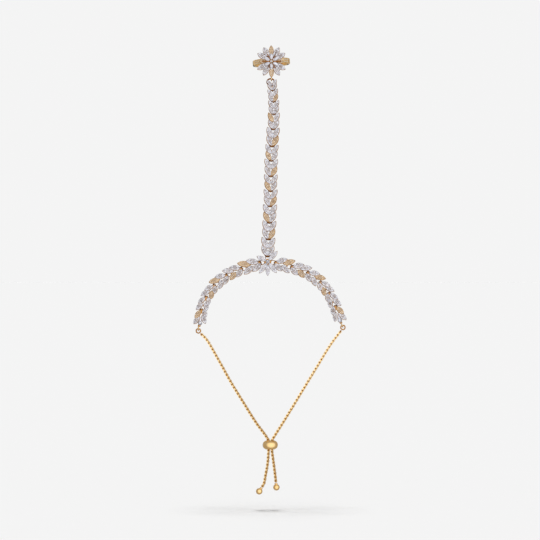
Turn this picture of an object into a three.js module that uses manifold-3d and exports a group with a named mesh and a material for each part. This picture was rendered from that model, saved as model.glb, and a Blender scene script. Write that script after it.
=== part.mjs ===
// Hand harness: a finger ring with a starburst head, an articulated chain of leaf links that runs down
// the back of the hand, a centre flower, two leafy arms, and two wrist chains that meet in a slider bead.
//
// Millimetres. +Z points up along the finger, +X to the right, and the jewelled front faces -Y.
// The origin is the centre of the ring's finger hole.
import * as THREE from 'three';
import { mergeVertices } from 'three/addons/utils/BufferGeometryUtils.js';
import Module from 'manifold-3d';

const wasm = await Module();
wasm.setup();

// ---------------------------------------------------------------------------------------------
// Driving dimensions
// ---------------------------------------------------------------------------------------------

// Finger ring: a plain gold band, worn with its head to the front.
const BORE_RADIUS = 8.65; // a finger of medium size
const BAND_THICKNESS = 1.3;
const BAND_WIDTH = 3.0;
const BAND_TILT_DEG = 3.8; // the hoop stands a little askew, right side up
const BAND_SEGMENTS = 36;
// Heights below are counted from the head's own level. The band stands this far above it, and the
// whole harness is lowered by as much, so that the origin is the centre of the finger hole.
const BAND_RISE = 1.0;

// Starburst head on the front of the band.
const PETAL_COUNT = 12;
const PETAL_TIP_RADIUS = 8.6;
const SIDE_PETAL_TIP_RADIUS = 6.4; // the two side petals are short and leave the band's shoulders free
const PETAL_BASE_RADIUS = 2.7;
const PETAL_WIDTH = 3.0;
const HEAD_CENTRE_Z = 0.4;
const HEAD_BACK = -10.2; // the petals' back plane
const GALLERY_RADIUS = 3.7; // the round gallery that carries the petals on the band
const GALLERY_INNER_END = -9.0;
const ROSETTE_STONES = 6;
const ROSETTE_INNER_RADIUS = 0.8;
const ROSETTE_TIP_RADIUS = 3.9;
const CENTRE_STONE_RADIUS = 0.75;

// Every leaf is a marquise plate with upright walls and a bevelled, stone-set top.
const LEAF_WALL = 1.0;
const LEAF_HEIGHT = 1.5;
const LEAF_TOP_SHARE = 0.55; // the flat top's size beside the leaf's outline
const LEAF_STATIONS = [0.2, 0.5, 0.8]; // where the outline is drawn between its two points

// The links' back plane, and the hinge loops behind it.
const LINK_BACK = -10.5;
const HINGE_Y = LINK_BACK + 0.9;
const EYE_RADIUS = 0.85;
const EYE_WIRE = 0.3;
const HINGE_PIN_RADIUS = 0.25;
const HINGE_SHIFT = 0.4; // the pin lies this far past the link's end, behind the next link's collar
const LUG_INNER = 0.85;
const LUG_OUTER = 1.25;
const LUG_LENGTH = 3.1;
const BRIDGE_LENGTH = 0.7; // the cross bar that carries both lugs

// The collar is a low round seat that joins the feet of a link's lower leaves.
const COLLAR_RADIUS = 1.25;
const COLLAR_CENTRE = 0.85; // from the link's hinge end
const COLLAR_HEIGHT = 1.1;

// The four leaves of one link. base and tip are shares of the link's length from its end near the
// flower, and reach is the tip's distance from the centre line as a share of the link's own reach.
const FINGER_LEAVES = [
  { side: -1, base: -0.02, tip: 0.62, reach: 1 },
  { side: 1, base: -0.02, tip: 0.62, reach: 1 },
  { side: -1, base: 0.42, tip: 1.06, reach: 1 },
  { side: 1, base: 0.42, tip: 1.06, reach: 1 },
];
// On the arms side 1 is the outside of the arch, where the leaves sit further along the link.
const ARM_LEAVES = [
  { side: 1, base: 0.06, tip: 0.69, reach: 1 },
  { side: -1, base: -0.04, tip: 0.53, reach: 0.95 },
  { side: 1, base: 0.48, tip: 1.14, reach: 1.1 },
  { side: -1, base: 0.4, tip: 1.0, reach: 0.95 },
];

// The finger chain, one row for each hinge, from the flower up to the ring.
// reach is how far the leaf tips of the link above that hinge stand from the centre line.
const FINGER_HINGES = [
  { x: -2.0, z: -102.7, reach: 3.25 },
  { x: -1.65, z: -93.7, reach: 3.25 },
  { x: -1.05, z: -84.9, reach: 3.3 },
  { x: -0.75, z: -76.2, reach: 3.3 },
  { x: -0.4, z: -68.2, reach: 3.25 },
  { x: -0.3, z: -60.3, reach: 3.2 },
  { x: -0.1, z: -52.1, reach: 3.1 },
  { x: 0.35, z: -44.4, reach: 3.0 },
  { x: 0.95, z: -35.4, reach: 2.75 },
  { x: 1.3, z: -27.5, reach: 2.6 },
  { x: 1.2, z: -20.9, reach: 2.5 },
  { x: 0.7, z: -14.9, reach: 2.45 },
  { x: 0.1, z: -9.4, reach: 0 },
];
const FINGER_BASE_OFFSET = 0.32;
const FINGER_LEAF_WIDTH = { least: 0, share: 0.335 }; // a share of the link's length over a least width

// The two arms, one row for each hinge from the flower out to the round end stone.
const ARM_HINGES = {
  left: [
    { x: -5.9, z: -106.4, reach: 3.3 },
    { x: -15.6, z: -109.6, reach: 3.1 },
    { x: -23.4, z: -113.0, reach: 3.1 },
    { x: -29.9, z: -118.3, reach: 2.8 },
    { x: -34.2, z: -124.4, reach: 2.7 },
    { x: -36.8, z: -131.1, reach: 2.9 },
    { x: -37.8, z: -138.3, reach: 0 },
  ],
  right: [
    { x: 1.9, z: -106.4, reach: 3.5 },
    { x: 10.5, z: -108.6, reach: 3.2 },
    { x: 18.9, z: -111.6, reach: 3.2 },
    { x: 25.6, z: -116.6, reach: 2.8 },
    { x: 30.2, z: -122.4, reach: 2.8 },
    { x: 33.7, z: -129.3, reach: 2.9 },
    { x: 36.3, z: -136.7, reach: 0 },
  ],
};
const ARM_BASE_OFFSET = 0.4;
const ARM_LEAF_WIDTH = { least: 1.1, share: 0.22 };

// Where each arm ends: the fixed gold eye below the end stone, then a loose jump ring.
const ARM_ENDS = {
  left: { eye: { x: -38.7, z: -140.9 }, ring: { x: -38.7, z: -142.35 }, stoneRadius: 1.1 },
  right: { eye: { x: 37.35, z: -139.2 }, ring: { x: 37.9, z: -140.55 }, stoneRadius: 1.2 },
};
const END_Y = -11.0; // the depth of the end eyes, the jump rings, the wrist chains and the bead
const END_EYE_RADIUS = 1.2;
const END_STEM = 3.0; // the end stone stands this far from the crotch of the last leaves
const NECK_SHARE = 0.6; // how far the neck below the end stone reaches towards the eye's centre
const END_RING_RADIUS = 1.15;
const END_WIRE = 0.3;

// Centre flower: one row for each petal, from its base to its tip. It stands in front of the links,
// so the first leaves of the chain and the arms reach in under its petals.
const FLOWER_CENTRE = { x: -1.96, z: -105.7 };
const FLOWER_PETALS = [
  { from: [-3.0, -105.2], to: [-7.9, -102.9], width: 2.5 },
  { from: [-1.0, -105.0], to: [3.3, -100.1], width: 2.5 },
  { from: [-2.1, -106.3], to: [-6.5, -112.0], width: 2.6 },
  { from: [-1.5, -106.3], to: [2.8, -111.8], width: 2.6 },
  { from: [-1.96, -107.0], to: [-1.96, -113.3], width: 2.3 },
];
const FLOWER_BACK = -12.3;
const FLOWER_BOSS_RADIUS = 1.6;
const FLOWER_STONE_RADIUS = 1.2;

// The gold jump ring between the starburst and the finger chain, wider than it is high.
const CONNECTOR = { x: -0.35, z: -10.35, halfWidth: 1.95, halfHeight: 1.75, wire: 0.35 };
const CONNECTOR_EYE_RADIUS = 1.0;
const HEAD_EYE = { x: 0.0, z: -8.65 };
const TOP_LINK_EYE = { x: 0.35, z: -12.05 };

// Wrist chains, each one length from its jump ring, through the bead, to its ball end.
const CHAIN_RADIUS = 0.68;
const CHAIN_SIDES = 8;
const CHAIN_STEPS = 38;
const BEAD = { x: -0.6, z: -202.8, halfWidth: 4.05, halfHeight: 2.45, roundness: 0.55 };
const BEAD_HOLE_OFFSET = 0.88; // the two chains lie side by side in one oval hole
const BEAD_HOLE_RADIUS = 1.2;
const BEAD_LEFT = BEAD.x - BEAD_HOLE_OFFSET;
const BEAD_RIGHT = BEAD.x + BEAD_HOLE_OFFSET;
const WRIST_CHAINS = {
  left: [
    { x: -37.6, z: -143.7 },
    { x: -34.6, z: -146.6 },
    { x: -28.1, z: -157.6 },
    { x: -21.4, z: -169.6 },
    { x: -14.6, z: -180.7 },
    { x: -8.0, z: -191.2 },
    { x: -3.1, z: -197.8 },
    { x: BEAD_LEFT, z: -200.7 },
    { x: BEAD_LEFT, z: -203.0 },
    { x: BEAD_LEFT, z: -205.4 },
    { x: -2.0, z: -212.6 },
    { x: -3.1, z: -219.0 },
    { x: -4.0, z: -223.4 },
    { x: -5.1, z: -225.2 },
  ],
  right: [
    { x: 37.05, z: -142.1 },
    { x: 31.3, z: -149.8 },
    { x: 24.6, z: -160.7 },
    { x: 17.8, z: -171.9 },
    { x: 11.0, z: -183.1 },
    { x: 5.6, z: -191.9 },
    { x: 1.8, z: -197.9 },
    { x: BEAD_RIGHT, z: -200.7 },
    { x: BEAD_RIGHT, z: -203.0 },
    { x: BEAD_RIGHT, z: -205.4 },
    { x: 1.2, z: -212.6 },
    { x: 2.0, z: -218.8 },
    { x: 2.4, z: -222.7 },
  ],
};
const BALL_RADIUS = 1.72;
const NECK_RADIUS = 0.85;
const NECK_LENGTH = 0.9;
const CHAIN_END_GAP = 0.3;

// Finishes
const GOLD = { color: 0xd9a854, metalness: 1.0, roughness: 0.22 };
const WHITE = { color: 0xc6c6d0, metalness: 0.8, roughness: 0.3 };

// ---------------------------------------------------------------------------------------------
// Solid helpers
// ---------------------------------------------------------------------------------------------

/** Turns a closed three.js geometry into a solid that can be joined to or cut from another. */
function solidOf(geometry) {
  const bare = new THREE.BufferGeometry();
  bare.setAttribute('position', geometry.getAttribute('position'));
  bare.setIndex(geometry.index);
  const merged = mergeVertices(bare, 1e-3);
  const corners = merged.index.array;
  const triangles = [];
  for (let i = 0; i < corners.length; i += 3) {
    const [a, b, c] = corners.slice(i, i + 3);
    if (a !== b && b !== c && c !== a) triangles.push(a, b, c);
  }
  const build = (triVerts) => new wasm.Manifold(new wasm.Mesh({
    numProp: 3,
    vertProperties: merged.getAttribute('position').array,
    triVerts: new Uint32Array(triVerts),
  }));
  const solid = build(triangles);
  return solid.volume() > 0 ? solid : build(triangles.reverse());
}

/** Makes the named mesh of one piece from its solid. */
function pieceOf(name, solid, finish) {
  const { vertProperties, triVerts } = solid.getMesh();
  const geometry = new THREE.BufferGeometry();
  geometry.setAttribute('position', new THREE.BufferAttribute(new Float32Array(vertProperties), 3));
  geometry.setIndex(new THREE.BufferAttribute(new Uint32Array(triVerts), 1));
  geometry.computeVertexNormals();
  const mesh = new THREE.Mesh(geometry, new THREE.MeshStandardMaterial(finish));
  mesh.name = name;
  return mesh;
}

/** Joins solids into one, as solder does. */
const solder = (...solids) => wasm.Manifold.union(solids);

/** A closed solid through two or more convex outlines that have the same number of corners. */
function loft(outlines) {
  const count = outlines[0].length;
  const triangles = [];
  for (let ring = 0; ring + 1 < outlines.length; ring++) {
    for (let i = 0; i < count; i++) {
      const a = ring * count + i;
      const b = ring * count + (i + 1) % count;
      triangles.push(a, b, b + count, a, b + count, a + count);
    }
  }
  const last = (outlines.length - 1) * count;
  for (let i = 1; i + 1 < count; i++) {
    triangles.push(0, i + 1, i, last, last + i, last + i + 1);
  }
  const geometry = new THREE.BufferGeometry();
  geometry.setAttribute('position', new THREE.Float32BufferAttribute(outlines.flat(2), 3));
  geometry.setIndex(triangles);
  return solidOf(geometry);
}

/** A straight bar of rectangular section between two points of the front plane. */
function bar(from, to, halfWidth, front, back) {
  const side = sideways(from, to, halfWidth);
  const outline = (y) => [
    [from.x - side.x, y, from.z - side.z],
    [to.x - side.x, y, to.z - side.z],
    [to.x + side.x, y, to.z + side.z],
    [from.x + side.x, y, from.z + side.z],
  ];
  return loft([outline(front), outline(back)]);
}

/** A vector of the given length at right angles to the line between two points. */
function sideways(from, to, length) {
  const dx = to.x - from.x;
  const dz = to.z - from.z;
  const scale = length / Math.hypot(dx, dz);
  return { x: dz * scale, z: -dx * scale };
}

/** A wire loop whose plane holds the depth axis and the given direction of the front plane. */
function eye(centre, direction, y, radius, wire) {
  const geometry = new THREE.TorusGeometry(radius, wire, 5, 9);
  geometry.rotateY(Math.atan2(direction.z, -direction.x));
  geometry.translate(centre.x, y, centre.z);
  return solidOf(geometry);
}

/** A round rod between two points. */
function rod(from, to, radius, sides = 8) {
  const start = new THREE.Vector3(...from);
  const end = new THREE.Vector3(...to);
  const geometry = new THREE.CylinderGeometry(radius, radius, start.distanceTo(end), sides);
  const turn = new THREE.Quaternion().setFromUnitVectors(
    new THREE.Vector3(0, 1, 0), end.clone().sub(start).normalize());
  geometry.applyQuaternion(turn);
  const middle = start.add(end).multiplyScalar(0.5);
  geometry.translate(middle.x, middle.y, middle.z);
  return solidOf(geometry);
}

/** A body of revolution about the depth axis, from [radius, y] corners. */
function turnedFront(corners, centre, segments = 16) {
  const profile = corners.map(([radius, y]) => new THREE.Vector2(radius, y));
  const geometry = new THREE.LatheGeometry(profile, segments);
  geometry.translate(centre.x, 0, centre.z);
  return solidOf(geometry);
}

/** One marquise leaf from its base point to its tip, standing on the plane y = back. */
function leaf(from, to, width, back = LINK_BACK) {
  const across = sideways(from, to, width / 2);
  const middle = { x: (from.x + to.x) / 2, z: (from.z + to.z) / 2 };
  const corner = (share, side) => {
    const spread = side * 4 * share * (1 - share);
    return {
      x: from.x + (to.x - from.x) * share + across.x * spread,
      z: from.z + (to.z - from.z) * share + across.z * spread,
    };
  };
  const rim = [
    corner(0, 0),
    ...LEAF_STATIONS.map((share) => corner(share, 1)),
    corner(1, 0),
    ...[...LEAF_STATIONS].reverse().map((share) => corner(share, -1)),
  ];
  const outline = (y, scale) => rim.map(({ x, z }) => [
    middle.x + (x - middle.x) * scale, y, middle.z + (z - middle.z) * scale,
  ]);
  return loft([
    outline(back, 1),
    outline(back - LEAF_WALL, 1),
    outline(back - LEAF_HEIGHT, LEAF_TOP_SHARE),
  ]);
}

// ---------------------------------------------------------------------------------------------
// Links of the finger chain and of the arms
// ---------------------------------------------------------------------------------------------

/** A smooth route through hinge rows, read by hinge number. */
class Route {
  constructor(hinges) {
    this.last = hinges.length - 1;
    this.curve = new THREE.CatmullRomCurve3(hinges.map(({ x, z }) => new THREE.Vector3(x, 0, z)));
  }

  /** The point at a hinge number, moved sideways and along by millimetres. */
  at(number, { side = 0, along = 0 } = {}) {
    const point = this.curve.getPoint(number / this.last);
    const ahead = this.direction(number);
    return {
      x: point.x + ahead.x * along + ahead.z * side,
      z: point.z + ahead.z * along - ahead.x * side,
    };
  }

  /** A point of one link, by its share of the link's length; the link may reach past its own ends. */
  onLink(index, share, side) {
    const inside = THREE.MathUtils.clamp(share, 0, 1);
    return this.at(index + inside, { side, along: (share - inside) * this.linkLength(index) });
  }

  direction(number) {
    return this.curve.getTangent(number / this.last);
  }

  linkLength(index) {
    return this.curve.getPoint(index / this.last).distanceTo(this.curve.getPoint((index + 1) / this.last));
  }
}

/** Two lugs and a pin that hold the next link's eye, on the back of what ends at this hinge. */
function hingePin(route, number) {
  const spot = (side, back) => route.at(number, { side, along: HINGE_SHIFT - back });
  const parts = [-1, 1].map((side) => bar(
    spot(side * (LUG_INNER + LUG_OUTER) / 2, -0.35),
    spot(side * (LUG_INNER + LUG_OUTER) / 2, LUG_LENGTH),
    (LUG_OUTER - LUG_INNER) / 2, HINGE_Y - 0.4, HINGE_Y + 0.4));
  parts.push(bar(
    spot(0, LUG_LENGTH - BRIDGE_LENGTH), spot(0, LUG_LENGTH), LUG_OUTER, LINK_BACK - 0.4, HINGE_Y + 0.4));
  const pinEnd = (side) => {
    const { x, z } = spot(side * (LUG_INNER + 0.1), 0);
    return [x, HINGE_Y, z];
  };
  parts.push(rod(pinEnd(-1), pinEnd(1), HINGE_PIN_RADIUS, 6));
  return parts;
}

/** The eye that hangs in a hinge. */
const hingeEye = (route, number) => eye(
  route.at(number, { along: HINGE_SHIFT }), route.direction(number), HINGE_Y, EYE_RADIUS, EYE_WIRE);

/** The leaves of one link, side by side along its centre line. */
function linkLeaves(route, index, { rows, baseOffset, reach, leafWidth }) {
  const width = leafWidth.least + leafWidth.share * route.linkLength(index);
  return rows.map((row) => leaf(
    route.onLink(index, row.base, row.side * baseOffset),
    route.onLink(index, row.tip, row.side * row.reach * reach),
    width));
}

/** The round seat at a link's near end. */
function collar(route, index) {
  return turnedFront([
    [0, LINK_BACK + 0.1],
    [COLLAR_RADIUS, LINK_BACK + 0.1],
    [COLLAR_RADIUS, LINK_BACK - COLLAR_HEIGHT],
    [0, LINK_BACK - COLLAR_HEIGHT],
  ], route.at(index, { along: COLLAR_CENTRE }), 10);
}

/** One link: an eye and a collar at its near end, its leaves, and its far ending. */
function leafLink(route, index, leaves, ending = hingePin(route, index + 1)) {
  return solder(
    hingeEye(route, index),
    collar(route, index),
    ...linkLeaves(route, index, leaves),
    ...ending);
}

const twoDigits = (number) => String(number).padStart(2, '0');

function fingerLinks() {
  const route = new Route(FINGER_HINGES);
  return FINGER_HINGES.slice(0, -1).map(({ reach }, index) => {
    const leaves = {
      rows: FINGER_LEAVES, baseOffset: FINGER_BASE_OFFSET, reach, leafWidth: FINGER_LEAF_WIDTH,
    };
    const isTop = index === route.last - 1;
    const topEye = [eye(TOP_LINK_EYE, { x: 0, z: 1 }, HINGE_Y, CONNECTOR_EYE_RADIUS, EYE_WIRE)];
    const solid = isTop
      ? leafLink(route, index, leaves, topEye)
      : leafLink(route, index, leaves);
    return pieceOf(`finger_link_${twoDigits(index + 1)}`, solid, WHITE);
  });
}

/** The round end stone's cup, and the gold eye soldered below it. */
function armEnding(route, { eye: eyeCentre, ring, stoneRadius }) {
  const stone = route.at(route.last);
  const neck = {
    x: stone.x + (eyeCentre.x - stone.x) * NECK_SHARE,
    z: stone.z + (eyeCentre.z - stone.z) * NECK_SHARE,
  };
  const hang = new THREE.Vector3(ring.x - eyeCentre.x, 0, ring.z - eyeCentre.z).normalize();
  return [
    turnedFront([
      [0, LINK_BACK],
      [stoneRadius, LINK_BACK],
      [stoneRadius, LINK_BACK - 1.2],
      [stoneRadius * 0.6, LINK_BACK - 1.7],
      [0, LINK_BACK - 1.7],
    ], stone, 12),
    bar(route.at(route.last, { along: -END_STEM }), stone, 0.5, LINK_BACK - 0.5, LINK_BACK + 0.3),
    bar(stone, neck, 0.4, END_Y - 0.35, LINK_BACK + 0.3),
    eye(eyeCentre, hang, END_Y, END_EYE_RADIUS, END_WIRE),
  ];
}

function armLinks(side) {
  const hinges = ARM_HINGES[side];
  const route = new Route(hinges);
  const outside = side === 'left' ? 1 : -1;
  const rows = ARM_LEAVES.map((row) => ({ ...row, side: row.side * outside }));
  return hinges.slice(0, -1).map(({ reach }, index) => {
    const leaves = { rows, baseOffset: ARM_BASE_OFFSET, reach, leafWidth: ARM_LEAF_WIDTH };
    const isLast = index === route.last - 1;
    const solid = isLast
      ? leafLink(route, index, leaves, armEnding(route, ARM_ENDS[side]))
      : leafLink(route, index, leaves);
    return pieceOf(`arm_${side}_link_${index + 1}`, solid, WHITE);
  });
}

// ---------------------------------------------------------------------------------------------
// Ring, connector and flower
// ---------------------------------------------------------------------------------------------

/** The plain band, its hole along Z, with softened outer edges. */
function band() {
  const half = BAND_WIDTH / 2;
  const outer = BORE_RADIUS + BAND_THICKNESS;
  const profile = [
    [BORE_RADIUS, -half],
    [outer - 0.35, -half],
    [outer, -half + 0.4],
    [outer, half - 0.4],
    [outer - 0.35, half],
    [BORE_RADIUS, half],
    [BORE_RADIUS, -half],
  ].map(([radius, z]) => new THREE.Vector2(radius, z));
  const geometry = new THREE.LatheGeometry(profile, BAND_SEGMENTS);
  geometry.rotateX(Math.PI / 2);
  geometry.rotateY(-THREE.MathUtils.degToRad(BAND_TILT_DEG));
  geometry.translate(0, 0, BAND_RISE);
  return solidOf(geometry);
}

/** A point of the starburst, at a radius and an angle turned clockwise from the top. */
function headPoint(radius, angle) {
  return { x: radius * Math.sin(angle), z: HEAD_CENTRE_Z + radius * Math.cos(angle) };
}

function starburst() {
  const centre = headPoint(0, 0);
  const parts = [turnedFront([
    [0, GALLERY_INNER_END],
    [GALLERY_RADIUS - 0.6, GALLERY_INNER_END],
    [GALLERY_RADIUS, HEAD_BACK],
    [GALLERY_RADIUS - 0.3, HEAD_BACK - 1.2],
    [0, HEAD_BACK - 1.2],
  ], centre, 18)];
  for (let i = 0; i < PETAL_COUNT; i++) {
    const angle = i * 2 * Math.PI / PETAL_COUNT;
    const isAtSide = i % (PETAL_COUNT / 2) === PETAL_COUNT / 4;
    const tip = headPoint(isAtSide ? SIDE_PETAL_TIP_RADIUS : PETAL_TIP_RADIUS, angle);
    parts.push(leaf(headPoint(PETAL_BASE_RADIUS, angle), tip, PETAL_WIDTH, HEAD_BACK));
  }
  for (let i = 0; i < ROSETTE_STONES; i++) {
    const angle = i * 2 * Math.PI / ROSETTE_STONES;
    parts.push(leaf(
      headPoint(ROSETTE_INNER_RADIUS, angle), headPoint(ROSETTE_TIP_RADIUS, angle), 1.9, HEAD_BACK - 0.8));
  }
  parts.push(turnedFront([
    [0, HEAD_BACK - 1],
    [CENTRE_STONE_RADIUS, HEAD_BACK - 1],
    [CENTRE_STONE_RADIUS, HEAD_BACK - 2.1],
    [0, HEAD_BACK - 2.5],
  ], centre, 10));
  return parts;
}

function fingerRing() {
  const stemTop = headPoint(2, Math.PI);
  const stemEnd = { x: HEAD_EYE.x, z: HEAD_EYE.z + 0.8 };
  const solid = solder(
    band(),
    ...starburst(),
    bar(stemTop, stemEnd, 0.5, HEAD_BACK - 0.4, HEAD_BACK + 0.5),
    eye(HEAD_EYE, { x: 0, z: 1 }, HINGE_Y, CONNECTOR_EYE_RADIUS, EYE_WIRE));
  return pieceOf('ring', solid, GOLD);
}

function ringConnector() {
  const { x, z, halfWidth, halfHeight, wire } = CONNECTOR;
  const geometry = new THREE.TorusGeometry(1, wire / 2, 6, 20);
  geometry.scale(halfWidth, halfHeight, 2);
  geometry.rotateX(Math.PI / 2);
  geometry.translate(x, HINGE_Y, z);
  return pieceOf('ring_connector', solidOf(geometry), GOLD);
}

function centreFlower() {
  const arms = ['left', 'right'].map((side) => new Route(ARM_HINGES[side]));
  const finger = new Route(FINGER_HINGES);
  const parts = [turnedFront([
    [0, HINGE_Y + 0.4],
    [FLOWER_BOSS_RADIUS, HINGE_Y + 0.4],
    [FLOWER_BOSS_RADIUS, FLOWER_BACK - 0.8],
    [FLOWER_STONE_RADIUS, FLOWER_BACK - 1.7],
    [0, FLOWER_BACK - 2.0],
  ], FLOWER_CENTRE, 14)];
  for (const { from, to, width } of FLOWER_PETALS) {
    parts.push(leaf({ x: from[0], z: from[1] }, { x: to[0], z: to[1] }, width, FLOWER_BACK));
  }
  for (const route of [finger, ...arms]) {
    parts.push(...hingePin(route, 0));
    parts.push(bar(
      route.at(0, { along: HINGE_SHIFT - LUG_LENGTH }), FLOWER_CENTRE, 0.8, HINGE_Y - 0.4, HINGE_Y + 0.4));
  }
  return pieceOf('centre_flower', solder(...parts), WHITE);
}

// ---------------------------------------------------------------------------------------------
// Jump rings, wrist chains, slider bead and ball ends
// ---------------------------------------------------------------------------------------------

function endRing(side) {
  const { ring } = ARM_ENDS[side];
  const geometry = new THREE.TorusGeometry(END_RING_RADIUS, END_WIRE, 6, 16);
  geometry.rotateX(Math.PI / 2);
  geometry.translate(ring.x, END_Y, ring.z);
  return pieceOf(`end_ring_${side}`, solidOf(geometry), GOLD);
}

/** The curve that a wrist chain follows. */
function chainCurve(side) {
  const points = WRIST_CHAINS[side].map(({ x, z }) => new THREE.Vector3(x, END_Y, z));
  return new THREE.CatmullRomCurve3(points);
}

function wristChain(side) {
  const section = new THREE.Shape();
  for (let i = 0; i < CHAIN_SIDES; i++) {
    const angle = (i + 0.5) * 2 * Math.PI / CHAIN_SIDES;
    const x = CHAIN_RADIUS * Math.cos(angle);
    const y = CHAIN_RADIUS * Math.sin(angle);
    if (i === 0) section.moveTo(x, y);
    else section.lineTo(x, y);
  }
  section.closePath();
  const geometry = new THREE.ExtrudeGeometry(section, {
    steps: CHAIN_STEPS,
    extrudePath: chainCurve(side),
    bevelEnabled: false,
  });
  return pieceOf(`wrist_chain_${side}`, solidOf(geometry), GOLD);
}

function sliderBead() {
  const rings = 8;
  const profile = [];
  for (let i = 0; i <= rings; i++) {
    const angle = -Math.PI / 2 + Math.PI * i / rings;
    const radius = Math.abs(Math.cos(angle)) < 1e-9 ? 0 : BEAD.halfWidth * Math.cos(angle) ** BEAD.roundness;
    profile.push(new THREE.Vector2(radius, BEAD.halfHeight * Math.sin(angle)));
  }
  const geometry = new THREE.LatheGeometry(profile, 20);
  geometry.rotateX(Math.PI / 2);
  geometry.translate(BEAD.x, END_Y, BEAD.z);
  const hole = [BEAD_LEFT, BEAD.x, BEAD_RIGHT].map((x) => rod(
    [x, END_Y, BEAD.z - BEAD.halfWidth], [x, END_Y, BEAD.z + BEAD.halfWidth], BEAD_HOLE_RADIUS));
  return pieceOf('slider_bead', solidOf(geometry).subtract(solder(...hole)), GOLD);
}

/** The ball that ends a wrist chain, with the short neck that the chain is fixed in. */
function ballEnd(side) {
  const curve = chainCurve(side);
  const end = curve.getPoint(1);
  const ahead = curve.getTangent(1);
  const along = (distance) => end.clone().addScaledVector(ahead, distance);
  const neckStart = along(CHAIN_END_GAP);
  const centre = along(CHAIN_END_GAP + NECK_LENGTH + BALL_RADIUS * 0.8);
  const ball = new THREE.SphereGeometry(BALL_RADIUS, 12, 8);
  ball.translate(centre.x, centre.y, centre.z);
  return pieceOf(`ball_end_${side}`, solder(
    solidOf(ball),
    rod(neckStart.toArray(), centre.toArray(), NECK_RADIUS)), GOLD);
}

// ---------------------------------------------------------------------------------------------
// Assembly
// ---------------------------------------------------------------------------------------------

const harness = new THREE.Group();
harness.name = 'hand_harness';
harness.position.z = -BAND_RISE;
harness.add(fingerRing(), ringConnector(), ...fingerLinks(), centreFlower());
for (const side of ['left', 'right']) {
  harness.add(...armLinks(side), endRing(side), wristChain(side), ballEnd(side));
}
harness.add(sliderBead());

export default harness;
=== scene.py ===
# %% [markdown]
# # A hand harness
# A hand harness joins a finger ring to a bracelet. From the top down this one is a gold ring with a
# starburst head, a chain of hinged links set with leaves, a flower on the back of the hand, two leafy
# arms that spread over the wrist, and two fine chains that close round it through a sliding bead.
# The solid model already holds every piece in its place. Here each piece is made again, with the
# stones, prongs, wires and polish that a jeweller would give it, in the same frame.

import math
import random

import bmesh
import bpy
from mathutils import Matrix, Quaternion, Vector


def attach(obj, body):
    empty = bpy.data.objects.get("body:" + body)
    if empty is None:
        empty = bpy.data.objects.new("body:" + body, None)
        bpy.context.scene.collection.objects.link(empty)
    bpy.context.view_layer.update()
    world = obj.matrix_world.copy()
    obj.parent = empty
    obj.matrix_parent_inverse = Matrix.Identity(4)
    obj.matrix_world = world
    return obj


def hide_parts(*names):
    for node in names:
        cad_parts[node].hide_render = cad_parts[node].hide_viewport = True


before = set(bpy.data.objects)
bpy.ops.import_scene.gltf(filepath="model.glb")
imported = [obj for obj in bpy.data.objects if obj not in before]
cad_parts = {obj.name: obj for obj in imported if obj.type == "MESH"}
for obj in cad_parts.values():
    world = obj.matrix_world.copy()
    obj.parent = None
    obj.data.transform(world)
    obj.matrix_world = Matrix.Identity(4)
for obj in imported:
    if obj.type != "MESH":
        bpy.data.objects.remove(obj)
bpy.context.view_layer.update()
MM = 0.001  # the sizes below are in millimetres, and Blender's own are in metres
print("solid pieces:", len(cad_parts))

# %% [markdown]
# ## Node arithmetic
# A material and a Geometry Nodes tree are both graphs of nodes. Such a graph is usually drawn by hand,
# but then it is slow to read back. Here one small class lets a socket be used in ordinary Python sums,
# and each sum quietly adds a Math node. A second class is the bench that a graph is built on: one of
# its methods adds any other node, so that the script reads like the recipe of a finish.

# %% Sockets that can be added, taken away and multiplied
class Flow:
    """What flows out of one node's socket: a number, a colour or a shape."""

    def __init__(self, bench, socket):
        self.bench = bench
        self.socket = socket

    def also(self, output):
        """Another output of the same node."""
        return Flow(self.bench, self.socket.node.outputs[output])

    def _sum(self, operation, first, second):
        return self.bench.node("ShaderNodeMath", {"operation": operation}, {0: first, 1: second})

    def __add__(self, other):
        return self._sum("ADD", self, other)

    def __radd__(self, other):
        return self._sum("ADD", other, self)

    def __sub__(self, other):
        return self._sum("SUBTRACT", self, other)

    def __rsub__(self, other):
        return self._sum("SUBTRACT", other, self)

    def __mul__(self, other):
        return self._sum("MULTIPLY", self, other)

    def __rmul__(self, other):
        return self._sum("MULTIPLY", other, self)


class Bench:
    """The bench that one graph of nodes is built on."""

    def __init__(self, tree):
        self.tree = tree

    def node(self, kind, settings=None, inputs=None, output=0, stops=()):
        """Adds a node: its settings and a ramp's extra stops first, then what each socket is fed."""
        made = self.tree.nodes.new(kind)
        for key, value in (settings or {}).items():
            setattr(made, key, value)
        for spot, colour in stops:
            made.color_ramp.elements.new(spot).color = (*colour, 1)
        self.feed(made, inputs or {})
        return Flow(self, made.outputs[output])

    def feed(self, node, inputs):
        """Links or sets a node's sockets."""
        for key, value in inputs.items():
            if isinstance(value, Flow):
                self.tree.links.new(value.socket, node.inputs[key])
            else:
                node.inputs[key].default_value = value


# %% [markdown]
# A finish is mixed from soft noise, little cells and shallow bumps. All of them are worked out from the
# place of each point in space and not from an image, so nothing stretches over a curve and no piece has
# to be unwrapped.

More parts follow.
